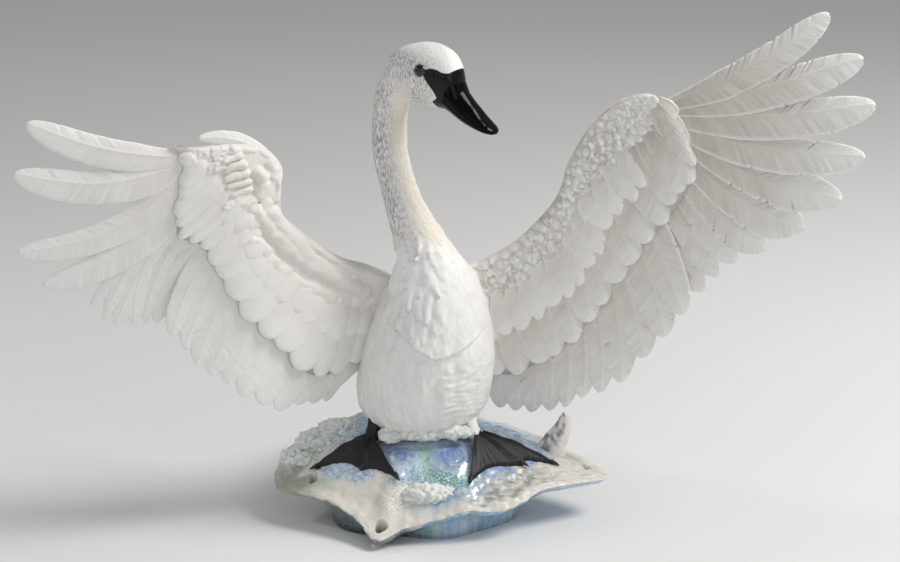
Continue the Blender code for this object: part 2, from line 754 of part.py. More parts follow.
    def alula(self, middle):
        """The small blade that stands on the leading edge outside the wrist."""
        rings = []
        for k, (x, z, half) in enumerate(middle):
            before, after = middle[max(k - 1, 0)], middle[min(k + 1, len(middle) - 1)]
            ahead = Vector((after[0] - before[0], after[1] - before[1])).normalized()
            ring = []
            for i in range(8):
                turn = math.tau * i / 8
                up = half * math.sin(turn)
                lift = 2 + 0.5 * half * math.cos(turn)
                ring.append(self.surface(x - ahead.y * up, z + ahead.x * up, lift))
            rings.append(ring)
        return loft(f"{self.name}_alula", rings, WHITE)


def wings():
    left = Wing("left_wing", -1, LEFT_LEAD, LEFT_COVERTS, LEFT_TIPS, LEFT_GAPS,
                LEFT_WRIST_OUT, LEFT_ARM_SWEEP, LEFT_HAND_SWEEP)
    right = Wing("right_wing", 1, RIGHT_LEAD, RIGHT_COVERTS, RIGHT_TIPS, RIGHT_GAPS,
                 RIGHT_WRIST_OUT, RIGHT_ARM_SWEEP, RIGHT_HAND_SWEEP)
    return [left.build(), left.alula(LEFT_ALULA), right.build(), right.alula(RIGHT_ALULA)]


def combine(target, others, operation):
    """Joins or cuts with the exact solver in one step, keeping each shape's own material."""
    group = bpy.data.collections.new(f"{operation.lower()}_shapes")
    group.hide_render = True
    bpy.context.scene.collection.children.link(group)
    for other in others:
        bpy.context.scene.collection.objects.unlink(other)
        group.objects.link(other)
        other.hide_render = True
        other.display_type = "WIRE"
    change = target.modifiers.new(operation.lower(), "BOOLEAN")
    change.operation = operation
    change.operand_type = "COLLECTION"
    change.collection = group
    change.solver = "EXACT"
    change.material_mode = "TRANSFER"


def main():
    clear_scene()
    figure = base()
    figure.name = "swan_figurine"
    combine(figure, rim_cutters(), "DIFFERENCE")
    joined = foam() + [body(), rump(), tail(), neck(), head(), bill()] + eyes()
    joined += [leg("left_leg", LEFT_FOOT[0]), leg("right_leg", RIGHT_FOOT[0])]
    joined += [foot("left_foot", LEFT_FOOT), foot("right_foot", RIGHT_FOOT)]
    joined += wings()
    combine(figure, joined, "UNION")


main()
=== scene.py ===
"""Finish of a bisque porcelain swan with raised wings, fired on a glazed wave.

Sizes are in millimetres, and MM turns them into metres when a mesh is made. The swan faces -Y, X runs
to the viewer's right and Z up, from the middle of the flat foot under the wave.
"""

import math
from collections import namedtuple

import bmesh
import bpy
import numpy as np
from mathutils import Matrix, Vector, kdtree, noise


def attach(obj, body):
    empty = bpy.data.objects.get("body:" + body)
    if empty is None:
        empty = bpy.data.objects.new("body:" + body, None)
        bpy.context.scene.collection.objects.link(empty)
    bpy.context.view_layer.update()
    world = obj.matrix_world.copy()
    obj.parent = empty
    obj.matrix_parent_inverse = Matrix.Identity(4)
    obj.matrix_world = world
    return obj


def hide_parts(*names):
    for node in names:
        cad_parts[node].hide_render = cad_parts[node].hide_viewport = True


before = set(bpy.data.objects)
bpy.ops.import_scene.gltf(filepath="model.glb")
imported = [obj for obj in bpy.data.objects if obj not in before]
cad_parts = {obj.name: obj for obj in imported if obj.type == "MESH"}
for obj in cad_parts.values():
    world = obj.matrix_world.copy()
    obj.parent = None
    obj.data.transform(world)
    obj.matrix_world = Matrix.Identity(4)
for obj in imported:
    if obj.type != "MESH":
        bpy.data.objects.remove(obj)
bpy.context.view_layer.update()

MM = 0.001
NODE = "swan_figurine"
BODY = "root"

# Wave base, as the fired solid has it
FOOT_HALF_WIDTH = 78.0
FOOT_HALF_DEPTH = 60.0
FOOT_LOBE = 3.5
FOOT_LOBES = 5
CREST_HEIGHT = 74.0
CREST_BACK = 12.0
WALL_SHARE = 0.80
# Angle in degrees anticlockwise from +X, reach from the middle and height of the foam rim
RIM = [
    (0, 158, 32), (9, 147, 36), (22, 126, 45), (50, 98, 57), (90, 88, 62), (125, 90, 64),
    (146, 92, 62), (158, 108, 53), (169, 121, 44), (185, 122, 28), (197, 108, 30), (214, 88, 27),
    (234, 85, 18), (249, 96, 9), (260, 81, 15), (280, 77, 21), (300, 84, 28), (313, 93, 26),
    (326, 102, 30), (339, 111, 35), (350, 136, 35),
]
SHELF_SHARE = 0.22
SWELL_POWER = 0.6
RIM_THICKNESS = 6.0

# Body slices: share of the height, of the half width and of the half depth, and middle in X and Y
BODY_HEIGHT = 165.0
BODY_HALF_WIDTH = 57.0
BODY_HALF_DEPTH = 60.0
BODY_SINK = 7.0
BODY_SLICES = [
    (0.00, 0.60, 0.50, 0, 20), (0.09, 0.85, 0.78, 1, 23), (0.18, 0.97, 0.94, 2, 24),
    (0.28, 1.00, 1.00, 4, 24), (0.42, 0.98, 1.00, 7, 21), (0.55, 0.90, 0.94, 9, 18),
    (0.67, 0.81, 0.84, 11, 15), (0.78, 0.68, 0.70, 12, 11), (0.88, 0.54, 0.55, 11, 8),
    (1.00, 0.36, 0.38, 7, 6),
]
SEAT = CREST_HEIGHT - BODY_SINK
NECK_ROOT = np.array([7.0, 6.0, SEAT + BODY_HEIGHT])

RUMP_LENGTH = 85.0
RUMP_RADIUS = 44.0
RUMP_DROP = 34.0
TAIL_LENGTH = 62.0
TAIL_HALF_WIDTH = 36.0

# Neck: radius and middle of each ring, measured from the root of the neck
NECK_RINGS = [
    (26.0, 0, 1, -16), (22.5, -4, 1, -4), (18.5, -13, 3, 16), (15.8, -20, 7, 33), (14.4, -26, 12, 52),
    (14.3, -31, 17, 72), (14.4, -32, 21, 92), (14.2, -31, 22, 110), (14.5, -28, 19, 126),
    (15.5, -20, 14, 138),
]

# Head and bill in the head's own frame: distance forward of the nape, top, underside and half width
HEAD_FORWARD = (0.80, -0.52, -0.30)
NAPE_FROM_NECK = (-10.0, 7.0, 14.0)
HEAD_RINGS = [
    (0, 2, -3, 2), (3, 9, -10, 8.5), (10, 15.5, -17.5, 14), (20, 22, -22.5, 17.5), (30, 26.5, -24.5, 19),
    (40, 28.5, -24, 19.3), (50, 28, -22, 18), (57, 25.5, -20.5, 16), (63, 20.5, -19.5, 13.5),
    (68, 13, -19, 11.5), (71, 6, -18.5, 9),
]
BILL_RINGS = [
    (58, 15, -18.0, 12.5), (66, 12, -19.4, 13.2), (71, 6.5, -20.2, 12.8), (75, 1.8, -21.2, 12.0),
    (83, -3.2, -22.6, 10.8), (90, -7.0, -23.0, 10.0), (96.5, -10.8, -23.0, 9.7), (102, -13.4, -22.8, 9.5),
    (107.5, -15.8, -22.2, 8.2), (111, -17.5, -21.4, 5.4), (112.5, -18.8, -20.4, 1.8),
]
EYE_AT = (40.3, 7.2, 16.3)
EYE_RADIUS = 4.5
# Edge of the black mask on the side of the head, forward and up from the nape
MASK_EDGE = [
    (43.5, 6.5), (44.5, 10.5), (48, 12.6), (53, 13.2), (58, 12.2), (62, 13.0), (65.5, 17.5), (69, 24),
    (95, 24), (95, -34), (60, -34), (57.5, -19), (54.5, -14.5), (58.5, -9.5), (55.5, -4.8), (50.5, -0.6),
    (46, 3.2),
]

# Webbed feet: ankle, then the tips of the outer, middle and inner toes, in X and Y
LEFT_FOOT = [(-42, -10), (-88, -12), (-48, -30), (-19, -48)]
RIGHT_FOOT = [(46, -8), (112, -10), (86, -22), (42, -48)]
ANKLE_HEIGHT = 10.0
FOOT_THICKNESS = 4.0
TOE_RADIUS = 3.2

# Wings. Outline points are X outwards and Z, on a surface that folds at the shoulder and the wrist.
FEATHER_THICKNESS = 2.6
ARM_THICKNESS = 20.0
HAND_THICKNESS = 9.0
SCALLOP = 11.0
TIP_CURL = 14.0
TRAIL_BACK = 0.06
PRIMARIES = 10
SHOULDER_BACK = 25.0
SHOULDER_OUT = 45.0
FOLD_BLEND = 22.0
# Thickness behind the middle surface as a share of that in front
BACK_THICKNESS = 0.45
# Shares of the way to the covert line: the end of the arm's rounded leading edge, and where its
# down starts and ends
ARM_NOSE = 0.06
ARM_START = 0.07
ARM_END = 0.66

LEFT_LEAD = [
    (0, 18, 198), (2, 44, 211), (4, 68, 222), (7, 97, 249), (9, 112, 268), (11, 112, 290),
    (12, 111, 306), (14, 125, 323), (17, 148, 327), (20, 170, 326), (22, 180, 326),
]
LEFT_COVERTS = [
    (0, 40, 150), (2, 66, 124), (4, 92, 124), (6, 116, 156), (8, 140, 186), (10, 160, 222),
    (12, 173, 247), (14, 190, 256), (17, 189, 284), (19, 184, 303), (21, 187, 320), (22, 193, 330),
]
LEFT_TIPS = [
    (67, 107), (78, 95), (89, 96), (101, 98), (115, 96), (128, 104), (143, 114), (156, 127), (168, 135),
    (179, 145), (188, 160), (197, 172), (207, 181), (215, 181), (223, 180), (238, 181), (247, 187),
    (256, 200), (291, 220), (308, 248), (307, 311), (296, 350),
]
LEFT_GAPS = [
    (198, 193), (210, 194), (218, 191), (229, 189), (240, 194), (244, 206), (236, 230), (216, 262),
    (218, 284), (246, 314), (252, 341),
]
RIGHT_LEAD = [
    (0, 18, 196), (2, 56, 216), (4, 84, 235), (7, 112, 268), (9, 122, 298), (11, 136, 325),
    (12, 148, 338), (14, 163, 349), (17, 176, 356), (20, 184, 358), (22, 190, 357),
]
RIGHT_COVERTS = [
    (0, 48, 125), (2, 74, 113), (4, 106, 129), (6, 134, 153), (8, 156, 184), (10, 179, 222),
    (12, 204, 252), (14, 218, 277), (16, 226, 300), (18, 220, 314), (20, 208, 334), (22, 196, 353),
]
RIGHT_TIPS = [
    (56, 91), (68, 81), (81, 79), (94, 78), (110, 80), (123, 84), (137, 93), (152, 98), (169, 108),
    (188, 131), (204, 150), (219, 171), (234, 190), (245, 203), (258, 216), (282, 228), (312, 248),
    (341, 274), (357, 310), (363, 353), (352, 390), (324, 425),
]
RIGHT_GAPS = [
    (220, 192), (232, 207), (246, 215), (262, 228), (279, 245), (295, 270), (300, 296), (292, 324),
    (301, 355), (286, 378), (264, 390),
]

# Camera at the photograph's angle
CAMERA_TARGET = (0.025, 0.0, 0.203)
CAMERA_ELEVATION = math.radians(14)
CAMERA_DISTANCE = 1.755
CAMERA_LENS = 85.0


# Curves and sections

def mix(a, b, share):
    """The point or number that lies a share of the way from a to b."""
    return np.asarray(a, float) + (np.asarray(b, float) - np.asarray(a, float)) * share


def curve_at(rows, places):
    """A smooth curve through rows of numbers, read at places on their first column."""
    rows = np.asarray(rows, float)
    places = np.asarray(places, float)
    flat = places.reshape(-1)
    last = len(rows) - 1
    k = np.clip(np.searchsorted(rows[:, 0], flat, side="right") - 1, 0, last - 1)
    before, start, end, after = (rows[np.clip(k + step, 0, last)] for step in (-1, 0, 1, 2))
    t = ((flat - start[:, 0]) / (end[:, 0] - start[:, 0]))[:, None]
    p0, p1, p2, p3 = before[:, 1:], start[:, 1:], end[:, 1:], after[:, 1:]
    found = 0.5 * (2 * p1 + (p2 - p0) * t + (2 * p0 - 5 * p1 + 4 * p2 - p3) * t * t
                   + (3 * p1 - p0 - 3 * p2 + p3) * t ** 3)
    return found.reshape(places.shape + (rows.shape[1] - 1,))


def soft_ramp(past):
    """Zero before a fold and the distance past it after, rounded over FOLD_BLEND each way."""
    middle = (past + FOLD_BLEND) ** 2 / (4 * FOLD_BLEND)
    return np.where(past <= -FOLD_BLEND, 0.0, np.where(past >= FOLD_BLEND, past, middle))


def unit(vector):
    """Vectors of length one in the same directions."""
    vector = np.asarray(vector, float)
    return vector / np.maximum(np.linalg.norm(vector, axis=-1, keepdims=True), 1e-9)


def full_turn(number):
    """Evenly spaced angles all the way round."""
    return np.linspace(0, math.tau, number, endpoint=False)


def ring_faces(rows, ring):
    """Quads over closed rings of points, with one flat face at each end."""
    row = np.arange(rows - 1)[:, None] * ring
    i = np.arange(ring)[None, :]
    j = (i + 1) % ring
    quads = np.stack([row + i, row + j, row + ring + j, row + ring + i], axis=-1).reshape(-1, 4)
    return quads.tolist() + [list(range(ring)), list(range((rows - 1) * ring, rows * ring))]


# Meshes and objects

FIELD_KINDS = {"value": "FLOAT", "vector": "FLOAT_VECTOR", "color": "FLOAT_COLOR"}


def read_points(mesh):
    """Places of a mesh's vertices in millimetres."""
    values = np.empty(len(mesh.vertices) * 3)
    mesh.vertices.foreach_get("co", values)
    return values.reshape(-1, 3) / MM


def read_normals(mesh):
    """Directions that a mesh's vertices face."""
    values = np.empty(len(mesh.vertices) * 3)
    mesh.vertex_normals.foreach_get("vector", values)
    return values.reshape(-1, 3)


def move_points(mesh, points):
    """Puts a mesh's vertices at points in millimetres."""
    mesh.vertices.foreach_set("co", (points * MM).reshape(-1))
    mesh.update()


def write_values(mesh, name, values, field="value"):
    """Keeps a value for each vertex, under the name by which a finish reads it."""
    if name in mesh.attributes:
        mesh.attributes.remove(mesh.attributes[name])
    made = mesh.attributes.new(name, FIELD_KINDS[field], "POINT")
    made.data.foreach_set(field, np.asarray(values, float).reshape(-1))


def new_object(name, data):
    """An object in the scene that holds a mesh, a camera or a lamp."""
    made = bpy.data.objects.new(name, data)
    bpy.context.scene.collection.objects.link(made)
    return made


def settle(made, finish):
    """Makes what a piece's modifiers give its own mesh, smooth and in one finish."""
    graph = bpy.context.evaluated_depsgraph_get()
    mesh = bpy.data.meshes.new_from_object(made.evaluated_get(graph))
    made.modifiers.clear()
    made.data = mesh
    mesh.materials.clear()
    mesh.materials.append(finish)
    mesh.shade_smooth()
    return mesh


class Clay:
    """Shells of one piece: points in millimetres, faces, and values that the finish reads."""

    def __init__(self):
        self.points = []
        self.faces = []
        self.vanes = []
        self.painted_lights = []
        self.size = 0

    def add(self, points, faces, vane=None, painted_light=None):
        """Adds one shell, with each point's place on its feather and its tone, the painted light and shade
        that the finish reads.
        """
        points = np.asarray(points, float).reshape(-1, 3)
        count = len(points)
        self.points.append(points)
        self.faces += (np.asarray(faces) + self.size).tolist() if not ragged(faces) else [
            [corner + self.size for corner in face] for face in faces]
        self.vanes.append(np.zeros((count, 3)) if vane is None else np.asarray(vane).reshape(-1, 3))
        self.painted_lights.append(np.ones(count) if painted_light is None else np.asarray(painted_light).reshape(-1))
        self.size += count

    def loft(self, rings, vane=None, painted_light=None):
        """Adds a closed shell over rings of points."""
        rings = np.asarray(rings, float)
        self.add(rings, ring_faces(rings.shape[0], rings.shape[1]), vane, painted_light)

    def mesh(self, name):
        """All shells as one smooth mesh whose faces look outwards."""
        mesh = bpy.data.meshes.new(name)
        mesh.from_pydata((np.concatenate(self.points) * MM).tolist(), [], self.faces)
        write_values(mesh, "vane", np.concatenate(self.vanes), "vector")
        write_values(mesh, "painted_light", np.concatenate(self.painted_lights))
        turn_outwards(mesh)
        mesh.shade_smooth()
        return mesh

    def piece(self, name, *finishes):
        """All shells as one object in the scene."""
        made = new_object(name, self.mesh(name))
        for finish in finishes:
            made.data.materials.append(finish)
        return made


def ragged(faces):
    """Whether the faces differ in their number of corners."""
    return len({len(face) for face in faces}) > 1


def turn_outwards(mesh):
    """Turns every face of closed shells outwards."""
    shape = bmesh.new()
    shape.from_mesh(mesh)
    bmesh.ops.recalc_face_normals(shape, faces=shape.faces)
    shape.to_mesh(mesh)
    shape.free()


# Wings

Vane = namedtuple("Vane", "thick camber ridge bead rib tilt fray round_from blunt pitch skew wash")
# Thickness, bulge, shaft and rim heights, rib height, tilt over the neighbour, depth of the splits,
# share where the tip starts to round, how blunt it is, spacing of the ribs, how far the shaft lies
# towards the leading edge, and the least brightness that the painted shade leaves
# The calm vanes of the left wing, which faces the key, keep much of their brightness; the ribbed flight and
# broad vanes of the right wing, which faces away from it, go down to a dark painted shade
CALM_FLIGHT = Vane(0.9, 1.2, 0.6, 0.35, 0.34, 1.5, 0.10, 0.72, 2.4, 1.35, 0.28, 0.5)
CALM_BROAD = Vane(0.9, 2.6, 0.1, 0.25, 0.16, 1.7, 0.04, 0.50, 2.3, 1.4, 0.0, 0.45)
CALM_SOFT = Vane(0.8, 2.6, 0.0, 0.20, 0.24, 1.2, 0.06, 0.42, 2.2, 1.4, 0.0, 0.45)
RIBBED_FLIGHT = Vane(0.9, 1.2, 0.9, 0.45, 0.55, 2.0, 0.16, 0.74, 2.4, 1.35, 0.30, 0.05)
RIBBED_BROAD = Vane(0.8, 1.9, 0.4, 0.95, 0.40, 2.0, 0.10, 0.52, 2.4, 1.4, 0.25, 0.05)
RIBBED_SOFT = Vane(0.8, 2.0, 0.1, 0.75, 0.35, 1.4, 0.10, 0.45, 2.3, 1.4, 0.15, 0.4)

FRONT_ACROSS = np.array([-1, -.94, -.8, -.6, -.38, -.18, -.06, 0, .06, .18, .38, .6, .8, .94, 1])
BACK_ACROSS = np.array([.93, .72, .4, .1, 0, -.1, -.4, -.72, -.93])


class Wing:
    """One wing: its folded middle surface, and the feathers and flesh that lie on it."""

    def __init__(self, name, side, lead, coverts, tips, gaps, folds, vanes, seed):
        self.name = name
        self.flight_vane, self.broad_vane, self.soft_vane = vanes
        self.side = side
        self.lead = lead
        self.coverts = coverts
        self.tips = tips
        self.wrist_out, self.arm_sweep, self.hand_sweep = folds
        self.count = len(tips)
        self.arm_count = self.count - PRIMARIES
        self.middle = curve_at(lead, self.count / 2)[1]
        self.gaps = self.all_gaps(gaps)
        self.random = np.random.default_rng(seed)

    def all_gaps(self, primary_gaps):
        """Notches beside each tip: shallow scallops along the arm, then the open gaps of the hand."""
        gaps = []
        for i in range(self.arm_count):
            tip = self.tips[0] if i == 0 else mix(self.tips[i - 1], self.tips[i], 0.5)
            cover = curve_at(self.coverts, i)
            length = math.dist(tip, cover)
            gaps.append(mix(tip, cover, min(0.7, SCALLOP / max(length, 1.0))))
        return gaps + [np.array(gap, float) for gap in primary_gaps]

    def depth(self, x):
        """Y of the middle surface at distances out, folded at the shoulder and the wrist."""
        arm = soft_ramp(x - SHOULDER_OUT)
        hand = soft_ramp(x - self.wrist_out)
        return SHOULDER_BACK - self.arm_sweep * arm + (self.arm_sweep - self.hand_sweep) * hand

    def surface(self, spots, lift):
        """Points lift in front of the middle surface, from X outwards and Z."""
        x, z = spots[..., 0], spots[..., 1]
        y = self.depth(x) + TRAIL_BACK * np.maximum(0.0, self.middle - z)
        slope = (self.depth(x - 1) - self.depth(x + 1)) / 2
        size = np.hypot(slope, 1)
        return np.stack([self.side * (x - slope * lift / size), y - lift / size, z], axis=-1)

    def bulk(self, place, share):
        """Thickness of arm or hand in front, at a share of the way from leading edge to coverts."""
        full = mix(ARM_THICKNESS, HAND_THICKNESS, np.minimum(1.0, place / self.arm_count))
        swell = np.sin(math.pi * np.minimum(1.0, 0.12 + share * 0.62) ** 0.6)
        edge = np.sqrt(np.clip(share / 0.10, 0, 1) * (2 - np.clip(share / 0.10, 0, 1)))
        return full * 0.5 * swell * (1 - 0.75 * share) * edge + FEATHER_THICKNESS / 2 * edge

    def across(self, place, share):
        """Spot at a share of the way from the leading edge to the covert line."""
        return mix(curve_at(self.lead, place), curve_at(self.coverts, place), np.asarray(share)[..., None])

    def feather(self, clay, path, halves, lifts, vane, face=1, curl=0.0):
        """One closed blade along a bowed line, with a shaft, ribs, splits and a thin raised rim."""
        start, via, end = (np.asarray(point, float) for point in path)
        first, second = math.dist(start, via), math.dist(via, end)
        length = first + second
        g = first / length
        pull = (via - (1 - g) ** 2 * start - g * g * end) / (2 * g * (1 - g))
        rows = max(12, int(length / vane.pitch))
        share = np.linspace(0, 1, rows)[:, None]
        u = np.concatenate([FRONT_ACROSS, BACK_ACROSS])[None, :]
        front = np.arange(u.shape[1])[None, :] < len(FRONT_ACROSS)
        widest = max(half for _, half in halves)
        lean = min(0.2, 0.8 * widest / length)
        place = np.clip(share + lean * np.abs(u) * 4 * share * (1 - share), 0, 1)
        t = place[..., None]
        line = (1 - t) ** 2 * start + 2 * t * (1 - t) * pull + t * t * end
        heading = 2 * (1 - t) * (pull - start) + 2 * t * (end - pull)
        square = unit(np.stack([-heading[..., 1], heading[..., 0]], axis=-1))
        chord = end - start
        square = square * (-1 if chord[0] < chord[1] else 1)
        half = np.interp(place, [s for s, _ in halves], [h for _, h in halves])
        past = np.clip((place - vane.round_from) / (1 - vane.round_from), 0, 1)
        half = half * np.sqrt(np.maximum(1 - past ** vane.blunt, 0.0009))
        ribs = self.uneven(rows)
        split = np.clip(self.random.random((rows, 2)) - 0.88, 0, 1) * 8 * vane.fray
        split = split * (np.abs(np.linspace(0, 1, rows)[:, None] - 0.6) < 0.25)
        right = (u > 0) * 1
        rib = np.take_along_axis(ribs, np.repeat(right, rows, 0), 1)
        half = half * (1 - np.take_along_axis(split, np.repeat(right, rows, 0), 1))
        edge = np.abs(u)
        spots = line + square * (half * (u + vane.skew * (1 - edge)))[..., None]
        relief = vane.camber * (1 - u ** 2) * np.sqrt(np.clip(half / widest, 0, 1))
        body = vane.thick * np.sqrt(np.clip(1 - edge ** 5, 0, 1))
        shaft = vane.ridge * np.exp(-(u / 0.07) ** 2) * (1 - place) ** 0.35
        rim = vane.bead * np.exp(-((0.94 - edge) / 0.05) ** 2) * (edge < 0.99)
        barbs = vane.rib * rib * np.clip(edge * 2.5 - 0.25, 0, 1) * (edge < 0.97)
        skin = body + np.where(edge < 0.99, shaft + rim + barbs * 0.5, 0)
        lift = np.interp(place, np.linspace(0, 1, len(lifts)), lifts)
        lift = lift + relief + np.where(front, skin, -skin)
        lift = face * lift - vane.tilt * u * np.clip(1.3 - place, 0, 1) - curl * place ** 2
        # Painted light and shade: darker towards the root, where the feather runs under its neighbours,
        # lighter towards the tip, with a painted highlight along the rim
        painted_light = np.maximum(0.2 + 0.6 * place ** 1.5 + 0.03 * rib, np.exp(-((1 - edge) / 0.10) ** 2))
        painted_light = vane.wash + (1 - vane.wash) * painted_light
        along = share * length
        value = np.stack([u * half, along + 0 * u, self.random.random() + 0 * place], axis=-1)
        clay.loft(self.surface(spots, lift), value, painted_light)

    def uneven(self, rows):
        """Ribs of uneven height and width down both sides of a feather."""
        fine = self.random.normal(size=(rows, 2))
        slow = self.random.normal(size=(rows + 7, 2))
        slow = sum(slow[k:k + rows] for k in range(7)) / 2.6
        return 0.75 * (fine + np.roll(fine, 1, 0)) / 1.4 + 0.45 * slow

    def flight(self, clay):
        """Secondaries and primaries, each from under the coverts through its gaps to its tip."""
        for i in range(self.count):
            at = i + 0.5
            arm = i < self.arm_count
            inward = max(0.0, i - self.count + 3)
            root = self.across(at - inward, 0.5 - 0.06 * inward)
            left, right = self.gaps[i], self.gaps[i + 1]
            via = mix(left, right, 0.5)
            tip = np.array(self.tips[i], float)
            heading = unit(tip - via)
            wide = abs(np.dot(right - left, [-heading[1], heading[0]]))
            spacing = math.dist(curve_at(self.coverts, i), curve_at(self.coverts, i + 1))
            part = math.dist(root, via) / (math.dist(root, via) + math.dist(via, tip))
            free = 0.53 * wide
            root_half = (0.9 if arm else 0.7 if i < self.count - 2 else 0.35) * spacing
            halves = [(0, root_half), (part * 0.6, max((0.95 if arm else 0.66) * spacing, free)),
                      (part, free * 1.06), (1, free * 0.86)]
            if arm:
                halves[-2:] = [(part, free * 1.5), (1, free * 1.28)]
            elif i < self.count - 4:
                halves[-2:] = [(part, free * 1.4), (1, free * 1.1)]
            curl = TIP_CURL * (1 if not arm else 0.25)
            style = self.flight_vane
            if i < self.count - 4:
                calm = 0.55 if self.side < 0 else 1.0
                style = style._replace(round_from=0.70, blunt=2.3, skew=0.1,
                                       camber=calm * style.camber, tilt=calm * style.tilt)
            self.feather(clay, (root, via, tip), halves, (0.2, 0.0, -0.4), style, curl=curl)

    def covert_row(self, clay, face, first, last, number, root, tip, width, extra, vane, spread=0.0):
        """A row of rounded feathers side by side, standing a little proud of what lies under them."""
        for k in range(number):
            place = first + (last - first) * (k + 0.5) / number + self.random.normal() * 0.06
            place = min(max(place, 0.02), self.count - 0.02)
            step = (last - first) / number / 2
            ends = [self.across(min(max(p, 0), self.count), tip) for p in (place - step, place + step)]
            half = max(math.dist(*ends), 6.0) * width / 2 * (1 + 0.06 * self.random.normal())
            tip_share = tip + spread * self.random.normal()
            shares = np.linspace(root, tip_share, 5)
            weight = 1.0 if face > 0 else BACK_THICKNESS
            lifts = weight * self.bulk(place, shares) + np.array([-3.5, 0.1 * extra, 0.6 * extra,
                                                                  0.85 * extra, extra])
            begin = self.across(place, root)
            finish = self.across(place, tip_share)
            via = mix(begin, finish, 0.5) + np.array([1.5, 0.6]) * self.random.normal() * 0.4
            halves = [(0, half * 0.55), (0.35, half * 0.95), (0.7, half), (1, half)]
            self.feather(clay, (begin, via, finish), halves, lifts, vane, face)

    def sheet(self, places, shares):
        """Spots over the front and back of arm and hand, their shares, and which lie in front."""
        ring = np.concatenate([shares, shares[-2:0:-1]])[None, :]
        front = np.arange(ring.shape[1])[None, :] < len(shares)
        lead = curve_at(self.lead, places[:, 0])[:, None, :]
        cover = curve_at(self.coverts, places[:, 0])[:, None, :]
        return lead + (cover - lead) * ring[..., None], ring, front

    def flesh(self, clay, last=None):
        """The arm and hand under the feathers, thick and round along the leading edge."""
        last = self.count if last is None else last
        places = np.linspace(0, last, int(last * 6) + 1)[:, None]
        shares = np.array([0, 0.006, 0.02, 0.045, 0.08, 0.13, 0.2, 0.3, 0.42, 0.55, 0.7, 0.85, 1.0])
        spots, ring, front = self.sheet(places, shares)
        lift = self.bulk(places, ring)
        lift = np.where(front, lift, -BACK_THICKNESS * lift)
        # A middling tone paints the flesh under and between the feathers in shade
        clay.loft(self.surface(spots, lift), None, np.full(spots.shape[:2], 0.5))

    def thumb(self, clay, path, half, lift):
        """The alula: a narrow blade of small feathers that stands over the edge of the hand."""
        halves = [(0, half * 0.12), (0.25, half * 0.7), (0.6, half), (1, half * 0.9)]
        style = self.flight_vane._replace(skew=0.0, tilt=0.0, round_from=0.6)
        self.feather(clay, path, halves, (lift, lift, lift), style)

    def arm(self, finish):
        """The arm and hand from the leading edge to the middle coverts, with soft feathers pressed in."""
        clay = Clay()
        places = np.linspace(0.2, self.count, 250)[:, None]
        shares = np.concatenate([np.linspace(0, 1, 12) ** 2 * ARM_NOSE,
                                 np.linspace(ARM_START, ARM_END, 52)])
        spots, ring, front = self.sheet(places, shares)
        edge = np.clip(ring / ARM_NOSE, 0, 1) * np.clip((ARM_END - ring) / 0.05, 0, 1)
        relief = self.relief(spots) * edge
        lift = self.bulk(places, ring) + 0.6 + relief
        lift = np.where(front, lift, -BACK_THICKNESS * self.bulk(places, ring) - 0.3 - 0.6 * relief)
        clay.loft(self.surface(spots, lift))
        made = clay.piece(f"{self.name}_arm", finish)
        # The ground between the pressed-in feathers takes a painted shade
        self.arm_tufts().press(made, ground=0.35 + 0.5 * self.soft_vane.wash)
        return made

    def relief(self, spots):
        """Height of the soft down on the arm: rolls and puffs by place, and mottling between them."""
        flat = spots.reshape(-1, 2)
        place = np.column_stack([flat, 0 * flat[:, 0]])
        broad, fine = roughen(place, 7, 81), roughen(place, 3.2, 82)
        flat = flat + 1.6 * np.column_stack([roughen(place, 8, 83), roughen(place, 8, 84)])
        total = np.zeros(len(flat))
        for x0, z0, x1, z1, half, height in self.rolls:
            start, run = np.array([x0, z0]), np.array([x1 - x0, z1 - z0])
            along = np.clip((flat - start) @ run / max(run @ run, 1e-6), 0, 1)
            far = np.linalg.norm(flat - start - along[:, None] * run, axis=1) / half
            total = np.maximum(total, height * np.sqrt(np.clip(1 - far ** 2, 0, 1)))
        total = total + self.mottle * (broad + 0.6 * fine)
        return total.reshape(spots.shape[:-1])

    def arm_tufts(self):
        """Small feathers over both faces of arm and hand, ready to be pressed in."""
        tufts = Tufts(41 + self.side)
        for face in (1, -1):
            for style in self.down:
                rows, first, last, pitch, length, half, height, lean = style
                for at, along, normal in self.down_points(face, rows, first, last, pitch):
                    size = 1 + 0.25 * tufts.random.normal()
                    across = np.cross(along, normal) * tufts.random.normal() * lean
                    tufts.add(at, along + across, normal, length * size, half * size,
                              height * (1 + 0.3 * tufts.random.normal()))
        return tufts

    def down_points(self, face, rows, first, last, pitch):
        """Places, directions and normals for small feathers on the arm, in staggered rows."""
        found = []
        for row, share in enumerate(rows):
            edge = self.across(np.linspace(first, last, 60), np.full(60, share))
            length = np.linalg.norm(np.diff(edge, axis=0), axis=1).sum()
            number = max(4, int(length / pitch))
            for k in range(number):
                place = first + (last - first) * (k + 0.5 * (row % 2) + 0.25) / number
                place = np.clip(place + self.random.normal() * 0.05, 0, self.count)
                here = np.clip(share + self.random.normal() * 0.015, 0.01, 1)
                weight = 1.0 if face > 0 else -BACK_THICKNESS

                def point(p, s, up=0.0):
                    """A point a little way up from one face of the arm."""
                    lift = weight * self.bulk(p, s) + face * up
                    return self.surface(self.across(p, s), lift)

                at = point(place, here)
                normal = unit(point(place, here, 1.0) - at)
                found.append((at, unit(point(place, min(here + 0.04, 1)) - at), normal))
        return found

    def dress(self, finish):
        """The wing's three pieces: flight feathers, coverts with flesh and alula, and the arm."""
        flight, coverts = Clay(), Clay()
        self.flight(flight)
        finish_piece(flight.piece(f"{self.name}_flight_feathers", finish))
        self.flesh(coverts)
        broad, soft = self.broad_vane, self.soft_vane
        for face in (1, -1):
